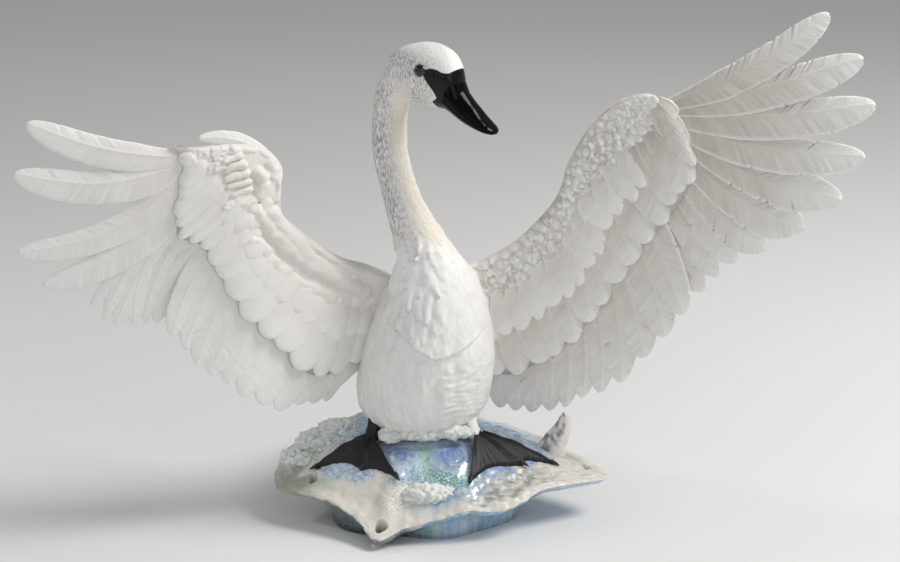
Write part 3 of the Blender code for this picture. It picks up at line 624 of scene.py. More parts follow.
            # First and last place, number, root and tip as shares, width, height, vane and unevenness
            self.covert_row(coverts, face, 0.0, 12.4, 12, 0.40, 1.02, 1.5, 2.2, broad, 0.01)
            self.covert_row(coverts, face, 12.4, 20.6, 8, 0.30, 1.0, 1.7, 1.8, broad, 0.02)
            self.covert_row(coverts, face, 0.2, 12.6, 14, self.median_root, 0.69, 1.7, 2.2, soft, 0.02)
        self.thumb(coverts, self.thumb_path, self.thumb_half, -1.5)
        finish_piece(coverts.piece(f"{self.name}_coverts", finish))
        finish_piece(self.arm(finish))


LEFT = Wing("left", -1, LEFT_LEAD, LEFT_COVERTS, LEFT_TIPS, LEFT_GAPS, (135.0, 0.80, 0.34),
            (CALM_FLIGHT, CALM_BROAD, CALM_SOFT), 11)
RIGHT = Wing("right", 1, RIGHT_LEAD, RIGHT_COVERTS, RIGHT_TIPS, RIGHT_GAPS, (180.0, 0.12, 0.22),
             (RIBBED_FLIGHT, RIBBED_BROAD, RIBBED_SOFT), 12)
# Down on the arm: rows as shares of the way from the leading edge, first and last feather, spacing,
# length, half width, height and lean
LEFT.down = [
    ((0.50, 0.58), 0.5, 13, 11.0, 15.0, 6.5, 1.5, 0.25),
    ((0.06, 0.14, 0.22, 0.30, 0.38, 0.46, 0.54), 16, 20.6, 7.0, 9.0, 4.0, 1.3, 0.5),
]
RIGHT.down = [
    ((0.04, 0.09, 0.14, 0.19, 0.24, 0.29), 0.5, 20, 7.0, 8.0, 3.0, 0.2, 0.6),
    ((0.35, 0.42, 0.50, 0.58), 0.5, 20, 9.0, 13.0, 5.0, 0.6, 0.3),
]
# Rolls and puffs of down: start and end in X and Z, half width and height
LEFT.rolls = [
    (110, 294, 107, 262, 7.5, 2.6), (103, 256, 83, 234, 7.5, 3.0), (79, 229, 56, 213, 7.0, 2.8),
    (50, 210, 24, 202, 6.0, 2.0), (121, 268, 112, 250, 6.5, 3.6), (108, 246, 96, 227, 7.0, 3.8),
    (92, 223, 75, 205, 6.5, 3.4), (70, 201, 50, 190, 6.0, 2.6), (134, 274, 123, 257, 6.0, 3.6),
    (119, 251, 108, 235, 6.5, 3.8), (104, 231, 90, 216, 6.0, 3.4), (138, 250, 134, 246, 5.5, 3.4),
    (130, 241, 127, 236, 5.5, 3.2), (124, 230, 120, 226, 5.0, 3.0), (116, 221, 112, 217, 5.0, 2.8),
    (108, 211, 103, 206, 5.0, 2.6), (98, 203, 92, 199, 5.0, 2.4), (86, 194, 78, 189, 5.0, 2.2),
    (137, 290, 150, 287, 3.2, 3.4), (138, 297, 152, 294, 3.4, 3.8), (139, 304, 153, 301, 3.4, 4.0),
    (141, 311, 153, 308, 3.4, 3.8), (144, 318, 156, 315, 3.2, 3.4), (158, 312, 165, 308, 4.5, 3.4),
    (131, 304, 127, 298, 5.0, 4.2), (126, 292, 130, 284, 5.0, 4.2), (136, 281, 142, 278, 4.5, 3.8),
    (150, 280, 156, 276, 4.5, 3.2), (147, 268, 151, 262, 5.0, 3.2), (133, 262, 137, 257, 4.5, 2.8),
    (116, 316, 124, 321, 5.0, 1.8), (133, 323, 146, 325, 4.0, 1.6), (118, 303, 119, 299, 3.4, 2.0),
    (115, 283, 118, 280, 3.6, 2.2), (120, 311, 122, 308, 3.2, 2.0), (123, 277, 126, 273, 3.6, 2.2),
]
LEFT.mottle = 0.55
LEFT.median_root = 0.36
RIGHT.rolls = [
    (146, 330, 156, 334, 3.0, 1.6), (160, 326, 163, 316, 3.0, 1.8), (146, 322, 149, 312, 3.0, 1.8),
    (155, 306, 160, 300, 3.0, 1.6), (139, 316, 141, 308, 3.0, 1.6), (168, 334, 176, 336, 3.2, 1.6),
]
RIGHT.mottle = 1.0
RIGHT.median_root = 0.28
LEFT.thumb_path = ((112, 302), (132, 324), (172, 333))
RIGHT.thumb_path = ((139, 326), (162, 346), (189, 356))
LEFT.thumb_half = 6.5
RIGHT.thumb_half = 4.5


# Nodes

def add_node(tree, kind, settings=None, inputs=None):
    """Adds a node with its settings, and sets or links its inputs by name or number."""
    node = tree.nodes.new(kind)
    for name, value in (settings or {}).items():
        setattr(node, name, value)
    for name, value in (inputs or {}).items():
        socket = node.inputs[name]
        if isinstance(value, bpy.types.NodeSocket):
            tree.links.new(value, socket)
        else:
            socket.default_value = value
    return node


def object_place(tree):
    """The place of what is shaded, in metres."""
    return add_node(tree, "ShaderNodeTexCoord").outputs["Object"]


def attribute(tree, name, output="Fac"):
    """A value that the mesh keeps for each vertex."""
    return add_node(tree, "ShaderNodeAttribute", {"attribute_name": name}).outputs[output]


def compute(tree, operation, *values):
    """One step of arithmetic on numbers and sockets."""
    return add_node(tree, "ShaderNodeMath", {"operation": operation}, dict(enumerate(values))).outputs[0]


def remap(tree, value, least=0.0, most=1.0, low=0.0, high=1.0):
    """Turns a range from least to most into one from low to high, and stops at both ends."""
    given = {0: value, 1: least, 2: most, 3: low, 4: high}
    return add_node(tree, "ShaderNodeMapRange", None, given).outputs[0]


def noise_field(tree, place, scale, detail):
    """Smooth noise over places, from 0 to 1."""
    given = {"Vector": place, "Scale": scale, "Detail": detail}
    return add_node(tree, "ShaderNodeTexNoise", None, given).outputs[0]


def blend(tree, share, low, high, kind="MIX"):
    """A colour between two, each a socket, linear values or an sRGB hex value."""
    low, high = (hex_colour(value) if isinstance(value, str) else value for value in (low, high))
    settings = {"data_type": "RGBA", "blend_type": kind}
    return add_node(tree, "ShaderNodeMix", settings, {0: share, 6: low, 7: high}).outputs[2]


def emboss(tree, shader, height, size, inverted=False):
    """Bump with a size in millimetres, laid over the bump that the shader already has."""
    given = {"Strength": 1.0, "Distance": size * MM, "Height": height}
    if shader.inputs["Normal"].is_linked:
        given["Normal"] = shader.inputs["Normal"].links[0].from_socket
    raised = add_node(tree, "ShaderNodeBump", {"invert": inverted}, given)
    tree.links.new(raised.outputs[0], shader.inputs["Normal"])


def bead_tree():
    """Puts a bead of froth on each point, its size and turn drawn from the seed."""
    tree = bpy.data.node_groups.new("strewn_beads", "GeometryNodeTree")
    for name, kind in (("Places", "NodeSocketGeometry"), ("Bead", "NodeSocketObject"),
                       ("Least", "NodeSocketFloat"), ("Most", "NodeSocketFloat"),
                       ("Seed", "NodeSocketInt"), ("Finish", "NodeSocketMaterial")):
        tree.interface.new_socket(name=name, in_out="INPUT", socket_type=kind)
    tree.interface.new_socket(name="Beads", in_out="OUTPUT", socket_type="NodeSocketGeometry")
    given = add_node(tree, "NodeGroupInput").outputs
    shape = add_node(tree, "GeometryNodeObjectInfo", None, {"Object": given["Bead"]})
    size = add_node(tree, "FunctionNodeRandomValue", {"data_type": "FLOAT"}, {"Seed": given["Seed"]})
    tree.links.new(given["Least"], size.inputs[2])
    tree.links.new(given["Most"], size.inputs[3])
    turn = add_node(tree, "FunctionNodeRandomValue", {"data_type": "FLOAT_VECTOR"},
                    {0: (0, 0, 0), 1: (math.tau, math.tau, math.tau), "Seed": given["Seed"]})
    rotation = add_node(tree, "FunctionNodeEulerToRotation", None, {0: turn.outputs[0]})
    placed = add_node(tree, "GeometryNodeInstanceOnPoints", None, {
        "Points": given["Places"], "Instance": shape.outputs["Geometry"],
        "Rotation": rotation.outputs[0], "Scale": size.outputs[1]})
    real = add_node(tree, "GeometryNodeRealizeInstances", None, {0: placed.outputs[0]})
    done = add_node(tree, "GeometryNodeSetMaterial", None,
                    {"Geometry": real.outputs[0], "Material": given["Finish"]})
    add_node(tree, "NodeGroupOutput", None, {0: done.outputs[0]})
    return tree


def bead():
    """One lump of froth, about a millimetre in radius, with 80 faces."""
    shape = bmesh.new()
    bmesh.ops.create_icosphere(shape, subdivisions=2, radius=MM)
    for corner in shape.verts:
        corner.co *= 1 + 0.3 * noise.noise(corner.co / MM * 1.3)
    mesh = bpy.data.meshes.new("bead")
    shape.to_mesh(mesh)
    shape.free()
    write_values(mesh, "painted_light", [0.9] * len(mesh.vertices))
    return new_object("bead", mesh)


def strew(name, points, least, most, seed, finish):
    """A plain mesh of beads at points in millimetres."""
    mesh = bpy.data.meshes.new(name)
    mesh.from_pydata((np.asarray(points) * MM).tolist(), [], [])
    made = new_object(name, mesh)
    shape, tree = bead(), bead_tree()
    change = made.modifiers.new("strew", "NODES")
    change.node_group = tree
    values = {"Bead": shape, "Least": least, "Most": most, "Seed": seed, "Finish": finish}
    for socket in tree.interface.items_tree:
        if socket.in_out == "INPUT" and socket.name in values:
            change[socket.identifier] = values[socket.name]
    settle(made, finish)
    bpy.data.objects.remove(shape)
    return made


# Finishes

def hex_colour(text):
    """Linear colour from an sRGB hex value."""
    values = [int(text[i:i + 2], 16) / 255 for i in (0, 2, 4)]
    return [v / 12.92 if v <= 0.04045 else ((v + 0.055) / 1.055) ** 2.4 for v in values] + [1.0]


# Colours laid over a finish: grey flecks, painted shade of the down's relief, and cream, painted light on
# the neck's lit side; the mask, and specks in the glaze
FLECK_SHADE_GREY = "8F8D89"
LIT_SIDE_CREAM = "EBE4D8"
MASK_BLACK = "0B0B0C"
SPARK_WHITE = "F6F6F2"
SPECK_GREEN = "4E7F86"


def new_finish(name, roughness, specular=0.5, coat=0.0, coat_roughness=0.05):
    """An empty finish, with its node tree and its shader."""
    finish = bpy.data.materials.new(name)
    finish.use_nodes = True
    tree = finish.node_tree
    tree.nodes.clear()
    shader = add_node(tree, "ShaderNodeBsdfPrincipled", None, {
        "Roughness": roughness, "Specular IOR Level": specular, "Coat Weight": coat,
        "Coat Roughness": coat_roughness})
    add_node(tree, "ShaderNodeOutputMaterial", None, {"Surface": shader.outputs[0]})
    return finish, tree, shader


def bisque(name, barb_pitch, barb_height, grain_height, warm="CFC8BD", pale="F5F4F1"):
    """Unglazed fired porcelain: dense white and matt. The warm colour is painted shade in the recesses and
    at feather roots, the pale one painted light on rims and tips, mixed by each vertex's tone.
    """
    finish, tree, shader = new_finish(name, 0.58, 0.35)
    place = object_place(tree)
    # Painted light and shade: the tone, stirred by a little noise, mixes the warm colour of the shade into
    # the pale white
    wash = compute(tree, "MULTIPLY_ADD", noise_field(tree, place, 45.0, 3.0), 0.25, attribute(tree, "painted_light"))
    colour = blend(tree, remap(tree, wash, 0.25, 0.95), warm, pale)
    tree.links.new(colour, shader.inputs["Base Color"])
    emboss(tree, shader, noise_field(tree, place, 900.0, 2.0), grain_height)
    if barb_height:
        vane = attribute(tree, "vane", "Vector")
        across, along, chance = add_node(tree, "ShaderNodeSeparateXYZ", None, {0: vane}).outputs
        slant = compute(tree, "MULTIPLY_ADD", compute(tree, "ABSOLUTE", across), -0.9, along)
        seed = compute(tree, "MULTIPLY_ADD", chance, 37.0, slant)
        barbs = add_node(tree, "ShaderNodeTexNoise", {"noise_dimensions": "1D"},
                         {"W": seed, "Scale": 1 / barb_pitch, "Detail": 1.5})
        emboss(tree, shader, barbs.outputs[0], barb_height)
    return finish


def enamel(name, colour, roughness, coat, relief=0.0, size=3.0, specular=0.5):
    """Fired black enamel: deep colour, with a smooth glassy face."""
    finish, tree, shader = new_finish(name, roughness, specular, coat)
    cloud = noise_field(tree, object_place(tree), 1000 / size, 4.0)
    tree.links.new(blend(tree, cloud, *colour), shader.inputs["Base Color"])
    emboss(tree, shader, cloud, relief)
    return finish


def flecks(tree, shader, pale):
    """Short dark flecks of painted shade in the down of nape, cheek and the neck's shaded left, pressed in
    with a bump, and cream painted light on the neck's lit, smooth side.
    """
    lean = add_node(tree, "ShaderNodeMapping", None, {
        "Vector": object_place(tree), "Rotation": (0.0, 0.25, 0.0), "Scale": (900.0, 900.0, 260.0)})
    dark = remap(tree, noise_field(tree, lean.outputs[0], 1.0, 1.5), 0.44, 0.68, 0.0, 0.75)
    amount = compute(tree, "MULTIPLY", dark, attribute(tree, "fleck_shade"))
    warm = blend(tree, attribute(tree, "cream"), pale, LIT_SIDE_CREAM)
    emboss(tree, shader, amount, 0.9, inverted=True)
    return blend(tree, amount, warm, FLECK_SHADE_GREY)


def masked_bisque(finish_name, base):
    """The bisque of the body, with the black enamel mask brushed on between eye and bill."""
    finish = base.copy()
    finish.name = finish_name
    tree = finish.node_tree
    shader = next(node for node in tree.nodes if node.type == "BSDF_PRINCIPLED")
    black = remap(tree, attribute(tree, "mask"), 0.25, -0.25)
    pale = flecks(tree, shader, shader.inputs["Base Color"].links[0].from_socket)
    tree.links.new(blend(tree, black, pale, MASK_BLACK), shader.inputs["Base Color"])
    tree.links.new(remap(tree, black, low=0.58, high=0.16), shader.inputs["Roughness"])
    return finish


def glaze(name):
    """Running glaze over the wave: colour by place, streaked along its flow, sparkling in the foam."""
    finish, tree, shader = new_finish(name, 0.22, 0.5, 0.35)
    gloss = attribute(tree, "gloss")
    speckle = attribute(tree, "speckle")
    streaks = remap(tree, noise_field(tree, attribute(tree, "flow", "Vector"), 0.30, 3.0), 0.3, 0.7)
    depth = attribute(tree, "streak")
    low = remap(tree, depth, low=1.0, high=0.62)
    high = remap(tree, depth, low=1.0, high=1.38)
    streaks = remap(tree, streaks, low=low, high=high)
    run = blend(tree, 1.0, attribute(tree, "glaze", "Color"), streaks, "MULTIPLY")
    dots = noise_field(tree, object_place(tree), 620.0, 2.0)
    bright = compute(tree, "MULTIPLY", remap(tree, dots, 0.54, 0.62), speckle)
    dark = compute(tree, "MULTIPLY", remap(tree, dots, 0.46, 0.38), speckle)
    lit = blend(tree, bright, run, SPARK_WHITE)
    speckled = blend(tree, compute(tree, "MULTIPLY", dark, 0.55), lit, SPECK_GREEN)
    tree.links.new(speckled, shader.inputs["Base Color"])
    tree.links.new(remap(tree, gloss, low=0.55, high=0.24), shader.inputs["Roughness"])
    tree.links.new(gloss, shader.inputs["Coat Weight"])
    emboss(tree, shader, dots, 0.22)
    return finish


# Glazes of the base, by the places where they run
WATER = hex_colour("8CA3CC")
DEEP_WATER = hex_colour("6C83BC")
PALE_WATER = hex_colour("C6D4E8")
MINT = hex_colour("B4D3CC")
TEAL = hex_colour("7FB6AA")
CREAM = hex_colour("DFDBD2")
FROTH = hex_colour("C9D8DE")
GLITTER = hex_colour("B4C8E0")
MARBLE = hex_colour("AEAEAA")
MARBLE_DARK = hex_colour("80837F")
FIN_GREEN = hex_colour("A2A89B")
WALL_BLUE = hex_colour("9ABAD6")
WALL_PALE = hex_colour("D8E1DB")
WALL_TEAL = hex_colour("7D9898")
# Painted shade that darkens the wall towards its foot
WALL_FOOT_SHADE = hex_colour("2E383F")


def paint_wave(made):
    """Glaze colours by place: the water's swirls, the foams round it and the wall down to the foot, with
    painted shade along the foot.
    """
    mesh = made.data
    points = read_points(mesh)
    x, y, z = points.T
    share, height = sea_place(x, y)
    top = np.clip((read_normals(mesh)[:, 2] + 0.15) / 0.3, 0, 1) * (z > height - 3)
    angle = np.degrees(np.arctan2(y, x)) % 360
    broad, middle = roughen(points, 15, 1), roughen(points, 6, 2)
    drift = roughen(points, 8, 31)
    foam = foam_share(x, y, broad + 0.6 * middle) * top
    shade = np.repeat([WATER], len(points), 0)
    speckle = np.full(len(points), 0.05)

    def tint(colour, amount):
        """Brushes a colour on, by amounts from 0 to 1."""
        shade[:] = shade + (np.array(colour) - shade) * np.clip(amount, 0, 1)[:, None]

    tint(PALE_WATER, np.clip(0.35 + 1.4 * middle, 0, 0.7))
    flow = points * [0.8, 0.8, 0.8]
    for cx, cy, size in SWELLS:
        far = np.hypot(x - cx, y - cy)
        near = np.exp(-(far / (size * 1.35)) ** 4)[:, None]
        turn = np.arctan2(y - cy, x - cx)
        round_it = np.stack([far * 1.5 + 1.2 * drift, turn * 2.2, 0 * x + cx], axis=-1)
        flow = flow + (round_it - flow) * near
        tint(DEEP_WATER, 0.75 * np.exp(-(far / (0.62 * size)) ** 2))
        tint(PALE_WATER, 0.65 * np.exp(-((far - 0.95 * size + 2.5 * drift) / 3.4) ** 2))
    tint(MINT, 0.95 * np.exp(-((x - 4 + 2.5 * drift) / 6) ** 2) * (y < 0) * (y > -62))
    band = np.exp(-((x - 10) / 38) ** 4 - ((share - 0.72 + 0.06 * drift) / 0.11) ** 2) * (y < -20)
    tint(TEAL, 0.9 * band)
    speckle += 0.9 * band
    glitter = patch(angle, 212, 46) * np.clip((share - 0.42) / 0.1, 0, 1) * top
    tint(GLITTER, 0.8 * glitter)
    tint(PALE_WATER, glitter * np.clip(2.2 * middle, 0, 0.8))
    cream = foam * np.maximum(patch(angle, 232, 38), patch(angle, 185, 14))
    tint(FROTH, foam)
    tint(WATER, 0.5 * foam * patch(angle, 160, 32) * np.clip(0.5 + 2.5 * middle, 0, 1))
    speckle += 0.6 * foam * patch(angle, 158, 30) + 0.55 * glitter * (1 - cream)
    tint(CREAM, cream)
    arm = foam * patch(angle, 338, 36)
    strings = roughen(points * [0.3, 0.8, 1.0], 2.4, 8)
    tint(MARBLE, arm)
    tint(MARBLE_DARK, arm * np.clip(-1.8 * strings - 0.1, 0, 0.7))
    tint(CREAM, arm * np.clip(1.8 * strings + 0.6 * middle, 0, 0.8))
    flow = flow + (points * [0.3, 1.4, 1.4] - flow) * arm[:, None]
    tint(CREAM, np.clip((share - 0.90 + 0.05 * middle) / 0.05, 0, 1) * top)
    tint(CREAM, foam * patch(angle, 357, 9) * (share > 0.72))
    fin = patch(angle, 189, 11) * np.clip((share - 0.80 + 0.04 * middle) / 0.05, 0, 1) * top
    tint(FIN_GREEN, fin)
    wall = 1 - top
    side = np.clip((x + 30) / 60, 0, 1)
    blue = np.array(WALL_TEAL) + (np.array(WALL_BLUE) - np.array(WALL_TEAL)) * side[:, None]
    runs = roughen(np.stack([x, y, z * 0.12], axis=-1), 9, 41) + 0.3 * roughen(
        np.stack([x, y, z * 0.12], axis=-1), 3, 42)
    blue = blue + (np.array(WALL_PALE) - blue) * np.clip(1.6 * runs + 0.1, 0, 0.7)[:, None]
    green = np.clip((-x - 70) / 25, 0, 1)[:, None]
    blue = blue + (np.array(FIN_GREEN) - blue) * green
    # Painted shade: the wall darkens towards the foot, higher up and deeper at the left, away from the key
    depth = 5 + 13 * (1 - side) + 5 * runs
    deep = np.clip(1.2 - z / depth, 0, 1)[:, None] * (1 - 0.75 * side[:, None])
    blue = blue + (np.array(WALL_FOOT_SHADE) - blue) * deep
    shade[:] = shade + (blue - shade) * wall[:, None]
    speckle = np.clip(speckle, 0, 1) * top * (1 - fin) + 0.08 * wall
    down = np.stack([x * 0.8, y * 0.8, z * 0.10], axis=-1)
    flow = flow + (down - flow) * wall[:, None]
    gloss = 0.25 + 0.75 * np.maximum(wall, 1 - foam) - 0.2 * cream
    streak = np.clip(0.75 - 0.65 * foam + 0.45 * arm - 0.3 * wall, 0, 1)
    for name, values in (("gloss", gloss), ("speckle", speckle), ("streak", streak)):
        write_values(mesh, name, values)
    write_values(mesh, "glaze", shade, "color")
    write_values(mesh, "flow", flow, "vector")


def finish_piece(piece):
    """Ties a piece to the fired body that carries it."""
    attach(piece, BODY)
    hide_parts(NODE)


# Body, neck and head

def body_at(share, turn):
    """Points on the body, at a share of its height and a turn about it."""
    share, turn = np.broadcast_arrays(np.asarray(share, float), np.asarray(turn, float))
    wide, deep, x, y = np.moveaxis(curve_at(BODY_SLICES, share), -1, 0)
    return np.stack([x + wide * BODY_HALF_WIDTH * np.cos(turn), y + deep * BODY_HALF_DEPTH * np.sin(turn),
                     SEAT + BODY_HEIGHT * share], axis=-1)


NECK_ROWS = [(k, *ring) for k, ring in enumerate(NECK_RINGS)]


def neck_at(place, turn):
    """Points on the neck, at a place along its rings and a turn about it."""
    place, turn = np.broadcast_arrays(np.asarray(place, float), np.asarray(turn, float))
    here = curve_at(NECK_ROWS, place)
    last = len(NECK_RINGS) - 1
    ahead = curve_at(NECK_ROWS, np.clip(place + 0.3, 0, last)) - curve_at(
        NECK_ROWS, np.clip(place - 0.3, 0, last))
    ahead = unit(ahead[..., 1:])
    side = unit(np.cross(ahead, [0.0, 1.0, 0.0]))
    front = np.cross(side, ahead)
    reach = here[..., :1]
    return NECK_ROOT + here[..., 1:] + reach * (
        side * np.cos(turn)[..., None] + front * np.sin(turn)[..., None])


def head_axes():
    """The nape, and the head's forward, near side and upward directions."""
    forward = unit(HEAD_FORWARD)
    side = unit(np.cross(forward, [0, 0, 1]))
    up = np.cross(side, forward)
    nape = NECK_ROOT + np.array(NECK_RINGS[-1][1:]) + np.array(NAPE_FROM_NECK)
    return nape, forward, side, up


def head_point(ahead, up, side):
    """A point from distances forward of the nape, upwards and towards the head's near side."""
    nape, forward, across, rise = head_axes()
    ahead, up, side = np.broadcast_arrays(*(np.asarray(v, float) for v in (ahead, up, side)))
    return nape + forward * ahead[..., None] + rise * up[..., None] + across * side[..., None]


def profile_rings(profile, number, columns):
    """Oval rings through a profile of top, underside and half width."""
    places = np.linspace(profile[0][0], profile[-1][0], number)[:, None]
    turn = full_turn(columns)[None, :]
    top, under, wide = np.moveaxis(curve_at(profile, places), -1, 0)
    middle, high = (top + under) / 2, (top - under) / 2
    return places, turn, middle, np.maximum(high, 0.4), np.maximum(wide, 0.4)


def head_rings():
    """Rings of points round the head from nape to bill."""
    places, turn, middle, high, wide = profile_rings(HEAD_RINGS, 44, 64)
    return head_point(places, middle + high * np.sin(turn), wide * np.cos(turn))


class Tufts:
    """Small raised feathers pressed into a skin, each with a place, a direction and a size."""

    def __init__(self, seed):
        self.random = np.random.default_rng(seed)
        self.rows = []

    def add(self, at, along, normal, length, half, height):
        """Adds one feather that lies flat on the skin."""
        along = np.asarray(along) - np.dot(along, normal) * np.asarray(normal)
        size = [length, half, height, self.random.random()]
        self.rows.append(np.concatenate([at, unit(along), normal, size]))

    def scatter(self, point_at, first, last, rows, number_at, size_at, lean=0.2):
        """Staggered rows of feathers over a surface given by a place along it and a turn about it."""
        for row in range(rows):
            place = first + (last - first) * row / (rows - 1)
            number = number_at(place)
            for k in range(number):
                step = math.tau / number
                turn = step * (k + 0.5 * (row % 2) + 0.25 * self.random.normal())
                here = place + (last - first) / rows * self.random.normal() * 0.35
                at = point_at(here, turn)
                ahead = unit(point_at(here + (last - first) * 0.01, turn) - at)
                across = unit(point_at(here, turn + 0.05) - at)
                normal = unit(np.cross(across, ahead))
                inward = (point_at(here, turn + math.pi) - at) / 2
                normal = normal * (-1 if np.dot(normal, inward) > 0 else 1)
                length, half, height = size_at(at, turn, self.random)
                if height > 0:
                    self.add(at, ahead + across * self.random.normal() * lean, normal, length, half, height)

    def press(self, made, near=10, ground=0.6):
        """Raises each vertex by the highest feather over it and keeps its place on that feather, with a
        tone that paints shade on the ground between feathers and at each root, lighter towards each tip.
        """
        mesh = made.data
        points, normals = read_points(mesh), read_normals(mesh)
        rows = np.array(self.rows)
        tree = kdtree.KDTree(len(rows))
        for i, row in enumerate(rows):
            tree.insert(row[:3], i)
        tree.balance()
        index = np.array([[found[1] for found in tree.find_n(point, near)] for point in points])
        rel = points[:, None] - rows[index, :3]
        along, normal = rows[index, 3:6], rows[index, 6:9]
        length, half, height, seed = (rows[index, k] for k in (9, 10, 11, 12))
        facing = (normals[:, None] * normal).sum(-1) > 0.2
        down = (rel * along).sum(-1) / length + 0.5
        side = (rel * np.cross(along, normal)).sum(-1) / half
        inner = np.clip(down, 0, 1)
        width = (0.45 + 0.55 * np.minimum(1, inner / 0.3)) * (1 - inner ** 2.6)
        width = width * (1 + 0.16 * np.sin(11 * inner + 40 * seed)) + 0.001
        part = np.clip(1 - (side / width) ** 2, 0, 1)
        inside = (np.abs(side) < width) & (down > 0) & (down < 1) & facing
        ribs = 0.08 * np.sin(9 * side + 20 * seed) * part
        rise = np.where(inside, height * (0.10 + 0.90 * inner) * part ** 1.1 + ribs, 0)
        best = rise.argmax(axis=1)
        pick = np.arange(len(points))
        lift = rise[pick, best]
        # Painted shade: ground brightness off the feathers and at their roots, rising to full light at
        # their tips
        painted_light = np.where(lift > 0.02, ground + (1 - ground) * inner[pick, best] ** 1.2, ground)
        vane = np.stack([(side * half)[pick, best], (down * length)[pick, best], seed[pick, best]], axis=-1)
        move_points(mesh, points + normals * lift[:, None])
        write_values(mesh, "painted_light", painted_light)
        write_values(mesh, "vane", vane, "vector")


def body_tufts():
    """Ragged flames down the breast, soft scallops at its side, and small feathers up the neck."""
    tufts = Tufts(31)

    def breast(at, turn, random):
        """Length, half width and height of a feather on the body."""
        ahead = 1.0 if at[1] < 12 else 0.0
        flame = ahead * np.exp(-((at[0] + 2) / 19) ** 4) * np.clip((at[2] - 150) / 25, 0, 1)
        calm = ahead * np.clip((at[0] - 14) / 12, 0, 1)
        size = 1 + 0.3 * random.normal()
        height = (0.26 + 2.3 * flame - 0.12 * calm) * max(0.4, 1 + 0.35 * random.normal())
        return (15 + 3 * flame) * size, (5.5 - 2.0 * flame + 4 * calm) * size, height

    tufts.scatter(body_at, 1.0, 0.02, 24, lambda s: int(8 + 26 * curve_at(BODY_SLICES, s)[0]), breast, 0.3)

    def nape(at, turn, random):
        """Length, half width and height of a feather on the neck, lower on its lit side."""
        size = 1 + 0.25 * random.normal()
        lit = 0.5 + 0.5 * math.cos(turn)
        return 7.5 * size, 1.9 * size, 1.0 - 0.95 * lit

    tufts.scatter(neck_at, 8.3, -0.2, 34, lambda s: int(16 + 0.5 * curve_at(NECK_ROWS, s)[0]), nape, 0.15)

    def back(at, turn, random):
        """Length, half width and height of a feather on the rump."""
        size = 1 + 0.2 * random.normal()
        return 15 * size, 6 * size, 1.1

    tufts.scatter(rump_at, 0.0, 0.97, 11, lambda s: 18, back, 0.15)
    return tufts


def rump_at(share, turn):
    """Points on the rump, at a share of the way to the tail and a turn about it."""
    share, turn = np.broadcast_arrays(np.asarray(share, float), np.asarray(turn, float))
    sizes = [(0.0, 0.9), (0.25, 1.0), (0.5, 0.92), (0.75, 0.70), (0.93, 0.42), (1.0, 0.22)]
    size = curve_at(sizes, share)[..., 0] * RUMP_RADIUS
    return np.stack([4 + size * np.cos(turn), 40 + RUMP_LENGTH * share,
                     CREST_HEIGHT + 0.42 * BODY_HEIGHT - RUMP_DROP * np.maximum(share, 0) ** 1.3
                     + size * np.sin(turn)], axis=-1)


# Size of the cells that the skin is melted into, and how often it is smoothed
SKIN_VOXEL = 1.3
SKIN_SMOOTHING = 10


def skin(finish):
    """Body, neck, head, rump and shoulders run together as one skin, with feathers pressed into it."""
    clay = Clay()
    turn = full_turn(64)[None, :]
    clay.loft(body_at(np.linspace(0, 1, 60)[:, None], turn))
    clay.loft(neck_at(np.linspace(0, len(NECK_RINGS) - 1, 60)[:, None], turn))
    clay.loft(head_rings())
    clay.loft(rump_at(np.linspace(0, 1, 30)[:, None], turn))
    for wing in (LEFT, RIGHT):
        wing.flesh(clay, 4)
    made = clay.piece("body_skin", finish)
    melt = made.modifiers.new("melt", "REMESH")
    melt.mode = "VOXEL"
    melt.voxel_size = SKIN_VOXEL * MM
    smooth = made.modifiers.new("smooth", "SMOOTH")
    smooth.factor = 0.5
    smooth.iterations = SKIN_SMOOTHING
    mesh = settle(made, finish)
    fold(mesh)
    # The skin between the body's feathers takes a light painted shade
    body_tufts().press(made, ground=0.78)
    points = read_points(mesh)
    # fleck and cream mark where shade and light are painted on head and neck
    fleck_shade, cream = fleck_places(points)
    write_values(mesh, "mask", mask_distance(points))
    write_values(mesh, "fleck_shade", fleck_shade)
    write_values(mesh, "cream", cream)
    return made


# The crease under the breast as X and Z, and the groove down the belly as Z and X
CREASE = np.array([(-34, 186), (-11, 162), (-2, 154), (12, 146), (30, 150), (48, 161), (62, 172)], float)
GROOVE = np.array([(92, 11), (101, 12), (126, 14), (140, 22), (152, 26)], float)


def fold(mesh):
    """Soft puffs over the body, the crease under the breast, the groove below it and the drapes."""
    points, normals = read_points(mesh), read_normals(mesh)
    x, y, z = points.T
    body = np.clip((232 - z) / 25, 0, 1) * np.clip(1.6 - np.hypot(x - 5, (y - 22) * 0.7) / 62, 0, 1)
    ahead = body * np.clip((14 - y) / 16, 0, 1)
    smooth = ahead * np.clip((x - 14) / 12, 0, 1) * np.clip((z - 150) / 12, 0, 1)
    puffs = roughen(points * [1, 1, 0.55], 9, 71) + 0.35 * roughen(points * [1, 1, 0.45], 4, 72)
    lift = (1.7 * body - 1.0 * smooth) * puffs
    above = z - np.interp(x, CREASE[:, 0], CREASE[:, 1])
    span = ahead * np.clip((x + 26) / 14, 0, 1) * np.clip((60 - x) / 14, 0, 1)
    lift += span * np.where(above > 0, 2.4 * np.exp(-np.maximum(above, 0) / 11),
                            -1.6 * np.exp(np.minimum(above, 0) / 7))
    away = x - np.interp(z, GROOVE[:, 0], GROOVE[:, 1])
    belly = np.clip((z - 84) / 10, 0, 1) * np.clip((152 - z) / 10, 0, 1)
    lift -= 2.0 * ahead * np.exp(-(away / 3) ** 2) * belly
    left = ahead * np.clip((-12 - x) / 10, 0, 1) * np.clip((200 - z) / 20, 0, 1)
    lift += 1.5 * left * roughen(points * [1, 1, 0.13], 5, 74)
    low = ahead * np.clip((x - 14) / 8, 0, 1) * np.clip((146 - z) / 10, 0, 1)
    lift += 1.3 * low * roughen(points * [0.4, 0.4, 1.6], 5, 75)
    move_points(mesh, points + normals * lift[:, None])


